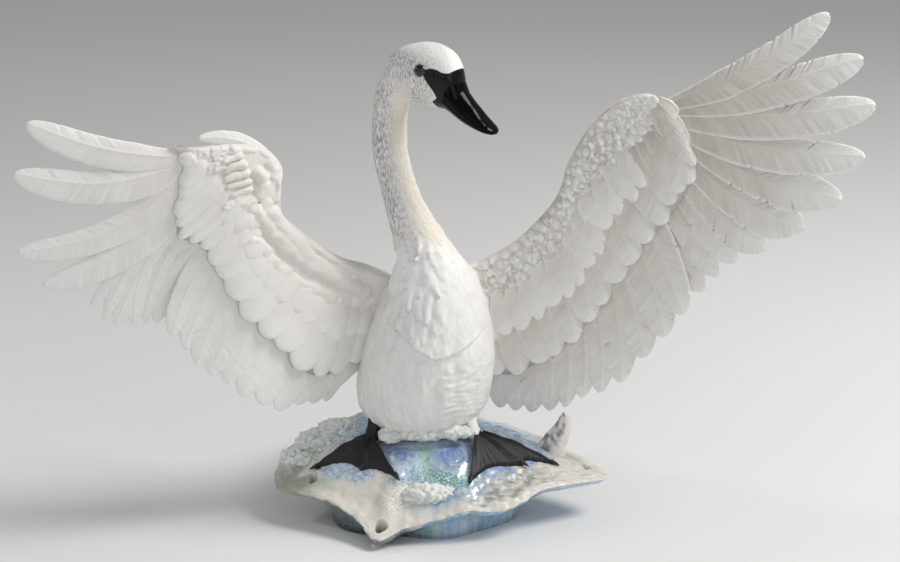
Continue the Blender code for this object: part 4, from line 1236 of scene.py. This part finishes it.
def fleck_places(points):
    """Where the dark flecks of painted shade lie over nape, cheek and the neck's shaded left, and the cream
    painted light on its lit right.
    """
    rings = NECK_ROOT[None, :] + np.array([ring[1:] for ring in NECK_RINGS], float)
    x, y, z = points.T
    radius = np.interp(z, rings[:, 2], [ring[0] for ring in NECK_RINGS])
    side = (x - np.interp(z, rings[:, 2], rings[:, 0])) / radius
    nape, forward, _, up = head_axes()
    ahead, high = (points - nape) @ forward, (points - nape) @ up
    cheeks = np.clip((ahead - 30) / 8, 0, 1) * (z > 335)
    head = np.maximum(np.clip((z - 362) / 12, 0, 1), cheeks) * (ahead < 90)
    neck = np.clip((z - 225) / 20, 0, 1) * (1 - head) * (np.hypot(x + 20, y - 20) < 60)
    cheek = head * np.clip((64 - ahead) / 20, 0, 1) * np.clip((22 - high) / 12, 0.3, 1)
    left = neck * np.clip(0.45 - 1.1 * side, 0, 1)
    return np.maximum(cheek, left), neck * np.clip(0.3 + 1.2 * side, 0, 1)


def mask_distance(points):
    """Signed distance in millimetres outside the edge of the black mask, for points on the head."""
    nape, forward, _, up = head_axes()
    local = points - nape
    flat = np.stack([local @ forward, local @ up], axis=-1)
    edge = np.array(MASK_EDGE, float)
    ahead = np.roll(edge, -1, axis=0)
    nearest = np.full(len(flat), 1e9)
    inside = np.zeros(len(flat), bool)
    for a, b in zip(edge, ahead):
        along = np.clip(((flat - a) @ (b - a)) / np.dot(b - a, b - a), 0, 1)
        nearest = np.minimum(nearest, np.linalg.norm(flat - a - along[:, None] * (b - a), axis=1))
        cross = (a[1] > flat[:, 1]) != (b[1] > flat[:, 1])
        reach = a[0] + (flat[:, 1] - a[1]) / (b[1] - a[1] + 1e-9) * (b[0] - a[0])
        inside ^= cross & (flat[:, 0] < reach)
    far = np.linalg.norm(local - forward * 45, axis=1) > 60
    return np.where(far, 50.0, np.where(inside, -nearest, nearest))


def bill(finish):
    """Upper and lower bill as one glossy form, with a groove at the gape and a nail at the tip."""
    places, turn, middle, high, wide = profile_rings(BILL_RINGS, 70, 72)
    lift, across = np.sin(turn), np.cos(turn)
    groove = 0.9 * np.exp(-((lift + 0.34) / 0.07) ** 2) * np.clip((places - 60) / 8, 0, 1)
    nostril = 0.7 * np.exp(-((places - 84) / 3.2) ** 2 - ((lift - 0.45) / 0.16) ** 2)
    nail = 0.5 * np.clip((places - 105) / 2, 0, 1) * np.clip(lift, 0, 1)
    shrink = 1 - (groove + nostril - nail) / np.maximum(wide, 3)
    # A swan's bill is flatter and wider than an oval towards the tip
    square = 1 + 0.10 * np.abs(np.sin(2 * turn)) * np.clip((places - 75) / 20, 0, 1)
    rings = head_point(places, middle + high * lift * shrink * square, wide * across * shrink * square)
    clay = Clay()
    clay.loft(rings)
    return clay.piece("bill", finish)


def eyes(finish):
    """Both eyes, as beads that stand a little proud of the head."""
    clay = Clay()
    around = np.linspace(0.08, math.pi - 0.08, 20)[:, None]
    turn = full_turn(28)[None, :]
    for way in (1, -1):
        ahead, up, side = EYE_AT
        clay.loft(head_point(
            ahead - 0.6 + EYE_RADIUS * 1.22 * np.sin(around) * np.cos(turn),
            up + EYE_RADIUS * 1.22 * np.sin(around) * np.sin(turn),
            way * (side + 0.4 + EYE_RADIUS * 1.1 * np.cos(around)) + 0 * turn))
    return clay.piece("eyes", finish)


# Wave base

def rim_at(angle):
    """Reach and height of the foam rim at angles in degrees."""
    rows = [(a - 360, r, z) for a, r, z in RIM[-2:]] + RIM + [(a + 360, r, z) for a, r, z in RIM[:2]]
    return np.moveaxis(curve_at(rows, np.asarray(angle) % 360), -1, 0)


def sea_place(x, y):
    """Share of the way from the crest to the rim, and the rim's height, over points."""
    x, y = np.broadcast_arrays(np.asarray(x, float), np.asarray(y, float))
    share = np.full(x.shape, 0.5)
    for _ in range(6):
        ahead = y - CREST_BACK * (1 - share)
        reach, height = rim_at(np.degrees(np.arctan2(ahead, x)))
        share = np.minimum(1.0, np.hypot(x, ahead) / reach)
    return share, height


def sea_height(x, y):
    """Height of the water under points, rising from the shelf of foam to the crest."""
    share, height = sea_place(x, y)
    rise = 1 - share
    swell = rise ** SWELL_POWER * (1 - np.exp(-(rise / SHELF_SHARE) ** 2))
    return height + (CREST_HEIGHT - height) * swell


def roughen(points, size, seed):
    """Smooth noise from -1 to 1 at each point, with features of a size in millimetres."""
    shift = Vector((seed * 17.3, seed * 5.1, seed * 9.7))
    return np.array([noise.noise(Vector(point) / size + shift) for point in points])


# Width of the foam as a share of the reach, by angle
FOAM_WIDTH = [(0, 0.34), (30, 0.22), (90, 0.25), (130, 0.34), (152, 0.55), (178, 0.46), (195, 0.24),
              (215, 0.26), (236, 0.42), (252, 0.40), (275, 0.20), (300, 0.18), (330, 0.26), (360, 0.34)]
SWELLS = [(-18.0, -27.0, 17.0), (26.0, -27.0, 18.0)]


def foam_share(x, y, drift=0.0):
    """How far points lie into the foam: 0 on the water and 1 on the foam."""
    share, _ = sea_place(x, y)
    width = curve_at(FOAM_WIDTH, np.degrees(np.arctan2(y, x)) % 360)[..., 0]
    return np.clip((share - 1 + width + 0.07 * drift) / 0.06, 0, 1)


def wall_rings(turn, number):
    """Distance out and height of rings from the foot up the wall and over the foam rim."""
    reach, height = rim_at(np.degrees(turn))
    foot = 1 / np.hypot(np.cos(turn) / FOOT_HALF_WIDTH, np.sin(turn) / FOOT_HALF_DEPTH)
    foot = foot + FOOT_LOBE * np.cos(FOOT_LOBES * turn)
    under = np.maximum(3.0, height - RIM_THICKNESS)
    wall = reach * WALL_SHARE
    out = [foot, foot + (wall - foot) * 0.1, foot + (wall - foot) * 0.55, reach * 0.93, reach, reach * 0.95]
    up = [0 * foot, under * 0.3, under * 0.75, under + 1, height, height + 3.4]
    rows = np.column_stack([np.arange(6), np.stack(out), np.stack(up)])
    found = curve_at(rows, np.linspace(0, 5, number))
    return found[:, :len(turn)], np.maximum(found[:, len(turn):], 0)


def wave(finish):
    """The wave base: a wall flowing down to the foot, a ruffled rim, and water up to the crest."""
    number, wall_number, top_number = 400, 44, 100
    turn = full_turn(number)
    out, up = wall_rings(turn, wall_number)
    wall = np.stack([out * np.cos(turn), out * np.sin(turn), up], -1)
    share = np.linspace(0.935, 0.03, top_number)[:, None]
    reach, _ = rim_at(np.degrees(turn))
    x = reach * share * np.cos(turn)
    y = CREST_BACK * (1 - share) + reach * share * np.sin(turn)
    lip = np.clip((share - 0.70) / 0.14, 0, 1) * 3.0 + 0 * x
    top = np.stack([x, y, sea_height(x, y) + lip], -1)
    under = wall[:1] * [0.5, 0.5, 0]
    rings = np.concatenate([under, wall, top])
    row = np.repeat(np.arange(len(rings)), number)
    points = rings.reshape(-1, 3)
    angle = np.degrees(np.tile(turn, len(rings)))
    on_top = np.clip((row - wall_number + 8) / 8, 0, 1)
    broad, middle, fine = (roughen(points, size, seed) for size, seed in ((15, 1), (6, 2), (2.6, 3)))
    foam = foam_share(points[:, 0], points[:, 1], broad + 0.6 * middle) * on_top
    froth = patch(angle, 160, 32) * foam
    stringy = patch(angle, 345, 34) * foam
    shelf = patch(angle, 232, 34) * foam
    strings = roughen(points * [0.25, 1.0, 1.0], 2.6, 8)
    folds = roughen(points * [1.0, 0.45, 0.6], 9, 9)
    lift = foam * (1.3 * broad + 0.5 * middle) + froth * (1.4 * middle + 1.2 * fine)
    lift += stringy * (0.9 * strings + 0.9 * middle + 0.5 * fine) + shelf * (1.5 * folds - 0.2 * fine)
    ripple = roughen(points * [1.0, 0.5, 1.0], 5, 4)
    lift += (1 - foam) * on_top * (0.8 * ripple + 0.3 * fine)
    for cx, cy, size in SWELLS:
        far = np.hypot(points[:, 0] - cx, points[:, 1] - cy)
        near = np.exp(-(far / size) ** 2) * (row > wall_number)
        lift += near * (4.0 + 0.35 * np.sin(far / 0.95 + 1.9 * ripple))
    gully = np.exp(-((points[:, 0] - 4) / 5) ** 2 - ((points[:, 1] + 26) / 20) ** 2) * (row > wall_number)
    lift -= 2.0 * gully
    points[:, 2] += np.where(row > 1, lift, 0)
    near_rim = np.clip((row - 18) / 14, 0, 1) * np.clip((wall_number + 10 - row) / 10, 0, 1)
    flow = np.stack([points[:, 0], points[:, 1], points[:, 2] * 0.15], axis=-1)
    push = near_rim * (1.6 * broad + 1.5 * middle + 0.8 * fine)
    push += np.clip((row - 1) / 6, 0, 1) * (row < wall_number - 8) * 0.6 * roughen(flow, 9, 7)
    points[:, 0] += push * np.cos(np.radians(angle))
    points[:, 1] += push * np.sin(np.radians(angle))
    clay = Clay()
    clay.loft(rings)
    made = clay.piece("wave_base", finish)
    pierce(made)
    return made


def patch(angle, middle, half):
    """One round an angle in degrees and zero beyond half the given width each way."""
    away = np.abs((angle - middle + 180) % 360 - 180)
    return np.clip(1.6 - away / half, 0, 1)


# Holes that the foam leaves: angle, share of the reach, half length along the rim and half width
RIM_HOLES = [(248, 0.87, 5.2, 5.2), (194, 0.82, 7.0, 3.6), (4, 0.90, 6.5, 4.0)]


def pierce(made):
    """Cuts the open loops through the foam of the rim."""
    clay = Clay()
    for angle, share, long, wide in RIM_HOLES:
        reach, height = rim_at(angle)
        out = np.array([math.cos(math.radians(angle)), math.sin(math.radians(angle)), 0.0])
        along = np.array([-out[1], out[0], 0.0])
        turn = full_turn(28)[:, None]
        swing = 1 + 0.12 * np.sin(3 * turn + angle)
        ring = out * reach * share + swing * (along * long * np.cos(turn) + out * wide * np.sin(turn))
        clay.loft([ring + [0, 0, float(height) + z] for z in (-30, 30)])
    cutter = clay.piece("holes")
    cut = made.modifiers.new("cut", "BOOLEAN")
    cut.operation = "DIFFERENCE"
    cut.solver = "EXACT"
    cut.object = cutter
    settle(made, made.data.materials[0])
    bpy.data.objects.remove(cutter)


def billow(points, size, seed):
    """Rounded lumps with creases between them, from 0 to about 1, with sizes in millimetres."""
    total = np.abs(roughen(points, size, seed)) + 0.5 * np.abs(roughen(points, size * 0.45, seed + 1))
    return 1.6 * total


def foam_lump(clay, middle, half, seed, size=9.0, height=3.0):
    """A lumpy foam form of billows of a size and height."""
    around = np.linspace(0.05, math.pi - 0.05, 44)[:, None]
    turn = full_turn(72)[None, :]
    points = np.stack([
        middle[0] + half[0] * np.sin(around) * np.cos(turn),
        middle[1] + half[1] * np.sin(around) * np.sin(turn),
        middle[2] - half[2] * np.cos(around) + 0 * turn], axis=-1)
    flat = points.reshape(-1, 3)
    away = unit((flat - np.asarray(middle, float)) / np.asarray(half, float) ** 2)
    bumps = height * billow(flat, size, seed) - 0.4 * height
    # The tone paints shade into the creases between billows and light on their tops
    clay.loft((flat + away * bumps[:, None]).reshape(points.shape), None, 0.5 + bumps / height)


# Foam: middle, half sizes, seed, and size and height of its billows
CREST_FOAM = [
    ((4, 8, CREST_HEIGHT - 1), (46, 19, 8), 21, 8.0, 3.0),
    ((-22, -13, CREST_HEIGHT), (13, 8, 5), 22, 7.0, 2.4),
    ((0, -16, CREST_HEIGHT + 2), (17, 8, 5), 23, 7.5, 2.8),
    ((27, -15, CREST_HEIGHT + 3), (16, 8, 5), 24, 7.0, 2.4),
]
MOUND_FOAM = [
    ((6, -56, 37), (18, 9, 8), 25, 7.0, 2.8), ((-6, -54, 36), (9, 6, 6), 26, 6.0, 2.2),
    ((19, -54, 37), (9, 6, 6), 27, 6.0, 2.2),
]
BACK_FOAM = [
    ((-88, 28, 53), (18, 17, 9), 28, 6.0, 4.0), ((-70, 42, 60), (19, 14, 9), 29, 6.0, 4.0),
    ((-104, 14, 45), (14, 14, 7), 30, 6.0, 4.0),
]


def foam(finish):
    """Foam thrown up round the wave: the ragged crest, the mound in front and froth at the back."""
    clay = Clay()
    for middle, half, seed, size, height in CREST_FOAM + MOUND_FOAM + BACK_FOAM:
        foam_lump(clay, middle, half, seed, size, height)
    return clay.piece("foam_crests", finish)


def froth(finish):
    """Beads of froth over the foam at the back, the edge of the crest and the mound."""
    random = np.random.default_rng(77)
    points = []
    for rows, number, low in ((BACK_FOAM, 200, -0.3), (CREST_FOAM[1:], 6, -0.5), (MOUND_FOAM, 5, -0.2)):
        for middle, half, *_ in rows:
            away = unit(random.normal(size=(number, 3)))
            away = away[away[:, 2] > low]
            proud = 1.04 + 0.05 * random.normal(size=(len(away), 1))
            points.append(np.asarray(middle) + away * half * proud)
    return strew("froth_beads", np.concatenate(points), 0.7, 2.3, 5, finish)


# The fin of foam: share of its height, middle in X, Y and Z, and half its width and depth
HORN_ROWS = [
    (0.0, 105, 26, 34, 17, 10), (0.25, 109, 25, 47, 14.5, 8.5), (0.5, 115.5, 23.5, 60, 11, 6.5),
    (0.75, 120.5, 22, 71, 7.2, 4.5), (0.92, 122, 21.2, 79, 3.8, 2.6), (1.0, 121.5, 21, 83, 0.9, 0.7),
]


def horn(finish):
    """The curved fin of foam that breaks upwards at the right, lit on one side and hollow on the other,
    with painted shade, marbled, on the hollow side.
    """
    clay = Clay()
    high = np.linspace(0, 1, 60)[:, None]
    turn = full_turn(72)[None, :]
    x, y, z, wide, deep = np.moveaxis(curve_at(HORN_ROWS, high), -1, 0)
    across = np.sign(np.cos(turn)) * np.abs(np.cos(turn)) ** 1.35
    ahead = np.sign(np.sin(turn)) * np.abs(np.sin(turn)) ** 1.35
    points = np.stack([x + wide * (across + 0.25 * np.abs(ahead)), y + deep * ahead, z + 0 * turn], -1)
    flat = points.reshape(-1, 3)
    middle = np.stack([x + 0 * turn, y + 0 * turn, z + 0 * turn], -1).reshape(-1, 3)
    bumps = 1.1 * roughen(flat * [1, 1, 0.4], 5, 51) + 0.7 * roughen(flat, 2.4, 52)
    # Painted shade: the hollow left face, turned away from the key, is darkened to a marbled grey
    left = np.clip(-across * 1.6 + 0.5, 0, 1) * (ahead < 0.3)
    marble = np.clip(0.55 + 1.6 * roughen(flat * [1, 1, 0.6], 3.2, 53), 0, 1).reshape(points.shape[:2])
    painted_light = 1 - left * (1 - 0.75 * marble)
    clay.loft((flat + unit(flat - middle) * bumps[:, None]).reshape(points.shape), None, painted_light)
    return clay.piece("foam_horn", finish)


def slab_faces(rows, columns):
    """Faces of a closed plate: a grid on top, a grid below and the edge between them."""
    count = rows * columns
    row = np.arange(rows - 1)[:, None] * columns
    i = np.arange(columns - 1)[None, :]
    top = np.stack([row + i, row + i + 1, row + columns + i + 1, row + columns + i], -1).reshape(-1, 4)
    under = top[:, ::-1] + count
    rim = list(range(columns)) + [r * columns + columns - 1 for r in range(1, rows)]
    rim += [count - columns + k for k in range(columns - 2, -1, -1)]
    rim += [r * columns for r in range(rows - 2, 0, -1)]
    edge = [[a, b, count + b, count + a] for a, b in zip(rim, rim[1:] + rim[:1])]
    return top.tolist() + under.tolist() + edge


def feet(finish):
    """Webs drawn tight between three toes, wrinkled along the toes, over the water."""
    clay = Clay()
    for marks in (LEFT_FOOT, RIGHT_FOOT):
        ankle, outer, middle, inner = (np.array(mark, float) for mark in marks)
        toes = [outer, middle, inner]
        columns, rows = 81, 36
        across = np.linspace(0, 2, columns)
        edge = []
        for place in across:
            k = min(int(place), 1)
            t = place - k
            spot = mix(toes[k], toes[k + 1], t)
            edge.append(mix(spot, ankle, 0.17 * math.sin(math.pi * t) ** 0.8))
        edge = np.array(edge)
        ridge = np.exp(-(np.minimum.reduce([np.abs(across - k) for k in range(3)]) / 0.10) ** 2)
        wrinkle = 0.30 * np.sin(across * 47) + 0.25 * np.sin(across * 83 + 1)
        share = np.linspace(0, 1, rows)[:, None]
        spots = ankle + (edge[None] - ankle) * (0.10 + 0.90 * share)[..., None]
        ground = sea_height(spots[..., 0], spots[..., 1])
        start = float(sea_height(*ankle)) + ANKLE_HEIGHT
        near = 1 - (1 - share) ** 1.9
        lift = start + (ground + FOOT_THICKNESS - start) * near
        knuckle = 1 + 0.25 * np.sin(share * 17) * (share > 0.15)
        lift = lift + ridge * TOE_RADIUS * (1 - 0.6 * share) * knuckle + wrinkle * share * (1 - ridge)
        top = np.concatenate([spots, lift[..., None]], -1)
        low = np.concatenate([spots, (ground - 4)[..., None]], -1)
        clay.add(np.concatenate([top.reshape(-1, 3), low.reshape(-1, 3)]), slab_faces(rows, columns))
        for toe in toes:
            heading = unit(toe - ankle)
            height = float(sea_height(*toe)) + FOOT_THICKNESS
            rings = []
            for s in np.linspace(0, 1, 10):
                size = 2.2 * (1 - s) ** 0.7 + 0.2
                turn = full_turn(12)
                spot = toe + heading * (s * 7 - 2)
                side = np.array([-heading[1], heading[0]])
                rings.append(np.stack([spot[0] + side[0] * size * np.cos(turn),
                                       spot[1] + side[1] * size * np.cos(turn),
                                       height + 0.8 - 3.4 * s ** 1.6 + size * np.sin(turn)], -1))
            clay.loft(rings)
    return clay.piece("webbed_feet", finish)


def legs(white, black):
    """Short shanks between belly and feet: black at the left, and white over black at the right."""
    made = []
    for marks, finish, name in ((LEFT_FOOT, black, "left_leg"), (RIGHT_FOOT, white, "right_leg")):
        x, y = marks[0]
        low = float(sea_height(x, y)) + ANKLE_HEIGHT - 3
        clay = Clay()
        rings = []
        for share, size in ((0, 7.0), (0.15, 5.6), (0.4, 5.4), (0.7, 7.5), (1, 12)):
            middle = mix((x, y + 2, low), (x * 0.8, 12, SEAT + 30), share)
            turn = full_turn(28)
            rings.append(np.stack([middle[0] + size * np.cos(turn), middle[1] + size * np.sin(turn),
                                   middle[2] + 0 * turn], -1))
        clay.loft(rings)
        made.append(clay.piece(name, finish))
    return made


TAIL_ROOT = (4.0, 101.0, 118.0)
TAIL_FEATHERS = 9


def tail(finish):
    """A short fan of broad tail feathers under the rump."""
    clay = Clay()
    plate = Plate(TAIL_ROOT)
    for k in range(TAIL_FEATHERS):
        side = 2 * k / (TAIL_FEATHERS - 1) - 1
        root = np.array([side * 10, 0.0])
        tip = np.array([side * TAIL_HALF_WIDTH, TAIL_LENGTH * (1 - 0.2 * side * side)])
        level = 2.0 - abs(side) * 2.5
        plate.feather(clay, (root, mix(root, tip, 0.5), tip), [(0, 6), (0.5, 8.5), (1, 9)],
                      (level, level, level), CALM_BROAD)
    return clay.piece("tail", finish)


class Plate(Wing):
    """A flat sloping fan that feathers are laid on."""

    def __init__(self, root):
        self.root = np.array(root)
        self.random = np.random.default_rng(5)

    def surface(self, spots, lift):
        """Points lift above the fan, from distances across and back."""
        across, back = spots[..., 0], spots[..., 1]
        z = -0.28 * back - 0.005 * across ** 2 + lift
        return self.root + np.stack([across, back + 0 * lift, z], axis=-1)


# Camera, floor and light

def camera():
    """The photograph's camera: a little above the figure, looking down at its middle."""
    data = bpy.data.cameras.new("camera")
    data.lens = CAMERA_LENS
    made = new_object("camera", data)
    back = Vector((0, -math.cos(CAMERA_ELEVATION), math.sin(CAMERA_ELEVATION)))
    made.location = Vector(CAMERA_TARGET) + back * CAMERA_DISTANCE
    made.rotation_euler = (-back).to_track_quat("-Z", "Y").to_euler()
    bpy.context.scene.camera = made


# The sheet under the figure: its size, and its colours near and far with where one turns to the other. The
# paler far colour is painted light against the lamps' fall-off.
FLOOR_REACH = 9.0
FLOOR_CORNERS = 64
FLOOR_NEAR = "E6E6E6"
FLOOR_FAR_PAINTED_LIGHT = "FCFCFB"
FLOOR_FADE = (0.3, 2.5)


def floor():
    """A pale sheet that lies flat under the figure, wide enough to fill the view from any side."""
    turns = [math.tau * i / FLOOR_CORNERS for i in range(FLOOR_CORNERS)]
    points = [(FLOOR_REACH * math.cos(turn), FLOOR_REACH * math.sin(turn), 0.0) for turn in turns]
    mesh = bpy.data.meshes.new("floor")
    mesh.from_pydata(points, [], [tuple(range(FLOOR_CORNERS))])
    made = new_object("floor", mesh)
    finish, tree, shader = new_finish("pale_paper_sheet", 0.9, 0.1)
    # Painted light: the sheet grows paler with distance from the middle
    away = add_node(tree, "ShaderNodeVectorMath", {"operation": "LENGTH"}, {0: object_place(tree)})
    far = remap(tree, away.outputs["Value"], *FLOOR_FADE)
    tree.links.new(blend(tree, far, FLOOR_NEAR, FLOOR_FAR_PAINTED_LIGHT), shader.inputs["Base Color"])
    mesh.materials.append(finish)


def lamp(name, at, aim, size, power, colour):
    """A round soft lamp that looks from one point at another."""
    data = bpy.data.lights.new(name, "AREA")
    data.shape = "DISK"
    data.size = size
    data.energy = power
    data.color = hex_colour(colour)[:3]
    made = new_object(name, data)
    made.location = at
    made.rotation_euler = (Vector(aim) - Vector(at)).to_track_quat("-Z", "Y").to_euler()


# Lamps: name, place, aim and size in metres, power in watts and colour
LAMPS = [
    ("key", (1.5, -0.15, 1.9), (0, 0, 0.25), 1.1, 42, "FFFDFA"),
    ("glint", (-1.15, 0.2, 0.92), (0, 0, 0.42), 0.15, 2, "FFFFFF"),
    ("fill", (-1.8, -1.6, 1.0), (0, 0, 0.2), 1.6, 3.5, "F6F9FF"),
    ("front", (0.7, -2.2, 1.2), (0, 0, 0.2), 1.4, 6, "FFFFFF"),
]
ROOM_GREY = "EAEBEC"
ROOM_STRENGTH = 0.33


def lights():
    """A key from the right, a small lamp for the glints, two weak soft lamps and a grey room."""
    for row in LAMPS:
        lamp(*row)
    world = bpy.data.worlds.new("studio")
    world.use_nodes = True
    back = world.node_tree.nodes["Background"]
    back.inputs["Color"].default_value = hex_colour(ROOM_GREY)
    back.inputs["Strength"].default_value = ROOM_STRENGTH
    bpy.context.scene.world = world


def main():
    """Sets the stage, and makes the figurine's pieces in their finishes."""
    bpy.context.scene.view_settings.view_transform = "Standard"
    camera()
    floor()
    lights()
    white = bisque("calm_bisque_porcelain", 1.8, 0.16, 0.05)
    # The right wing's bisque has a darker warm colour: painted shade for the wing that faces away from the
    # key
    barbed_shaded = bisque("barbed_bisque_painted_shade", 1.6, 0.42, 0.05, "BEB7AB")
    finish_piece(skin(masked_bisque("bisque_with_enamel_mask", white)))
    black = enamel("black_bill_enamel", ("030303", "060607"), 0.17, 0.0, 0.04, 6.0, 0.12)
    bead_black = enamel("black_eye_enamel", ("030303", "060606"), 0.1, 0.6)
    web = enamel("black_foot_glaze", ("0B0B0C", "1C1C1E"), 0.5, 0.0, 0.3, 1.6)
    sea = glaze("lustre_sea_glaze")
    finish_piece(bill(black))
    finish_piece(eyes(bead_black))
    base = wave(sea)
    paint_wave(base)
    finish_piece(base)
    pale = bisque("foam_bisque", 1.6, 0.0, 0.4, "CFE0DA", "F2F1EC")
    finish_piece(foam(pale))
    finish_piece(froth(bisque("bead_bisque", 1.6, 0.0, 0.2, "C9DAE6", "ECF1F2")))
    finish_piece(horn(bisque("marbled_foam_painted_shade", 1.6, 0.0, 0.4, "8F918F", "F1EEE7")))
    finish_piece(feet(web))
    for leg in legs(white, web):
        finish_piece(leg)
    finish_piece(tail(white))
    LEFT.dress(white)
    RIGHT.dress(barbed_shaded)


main()
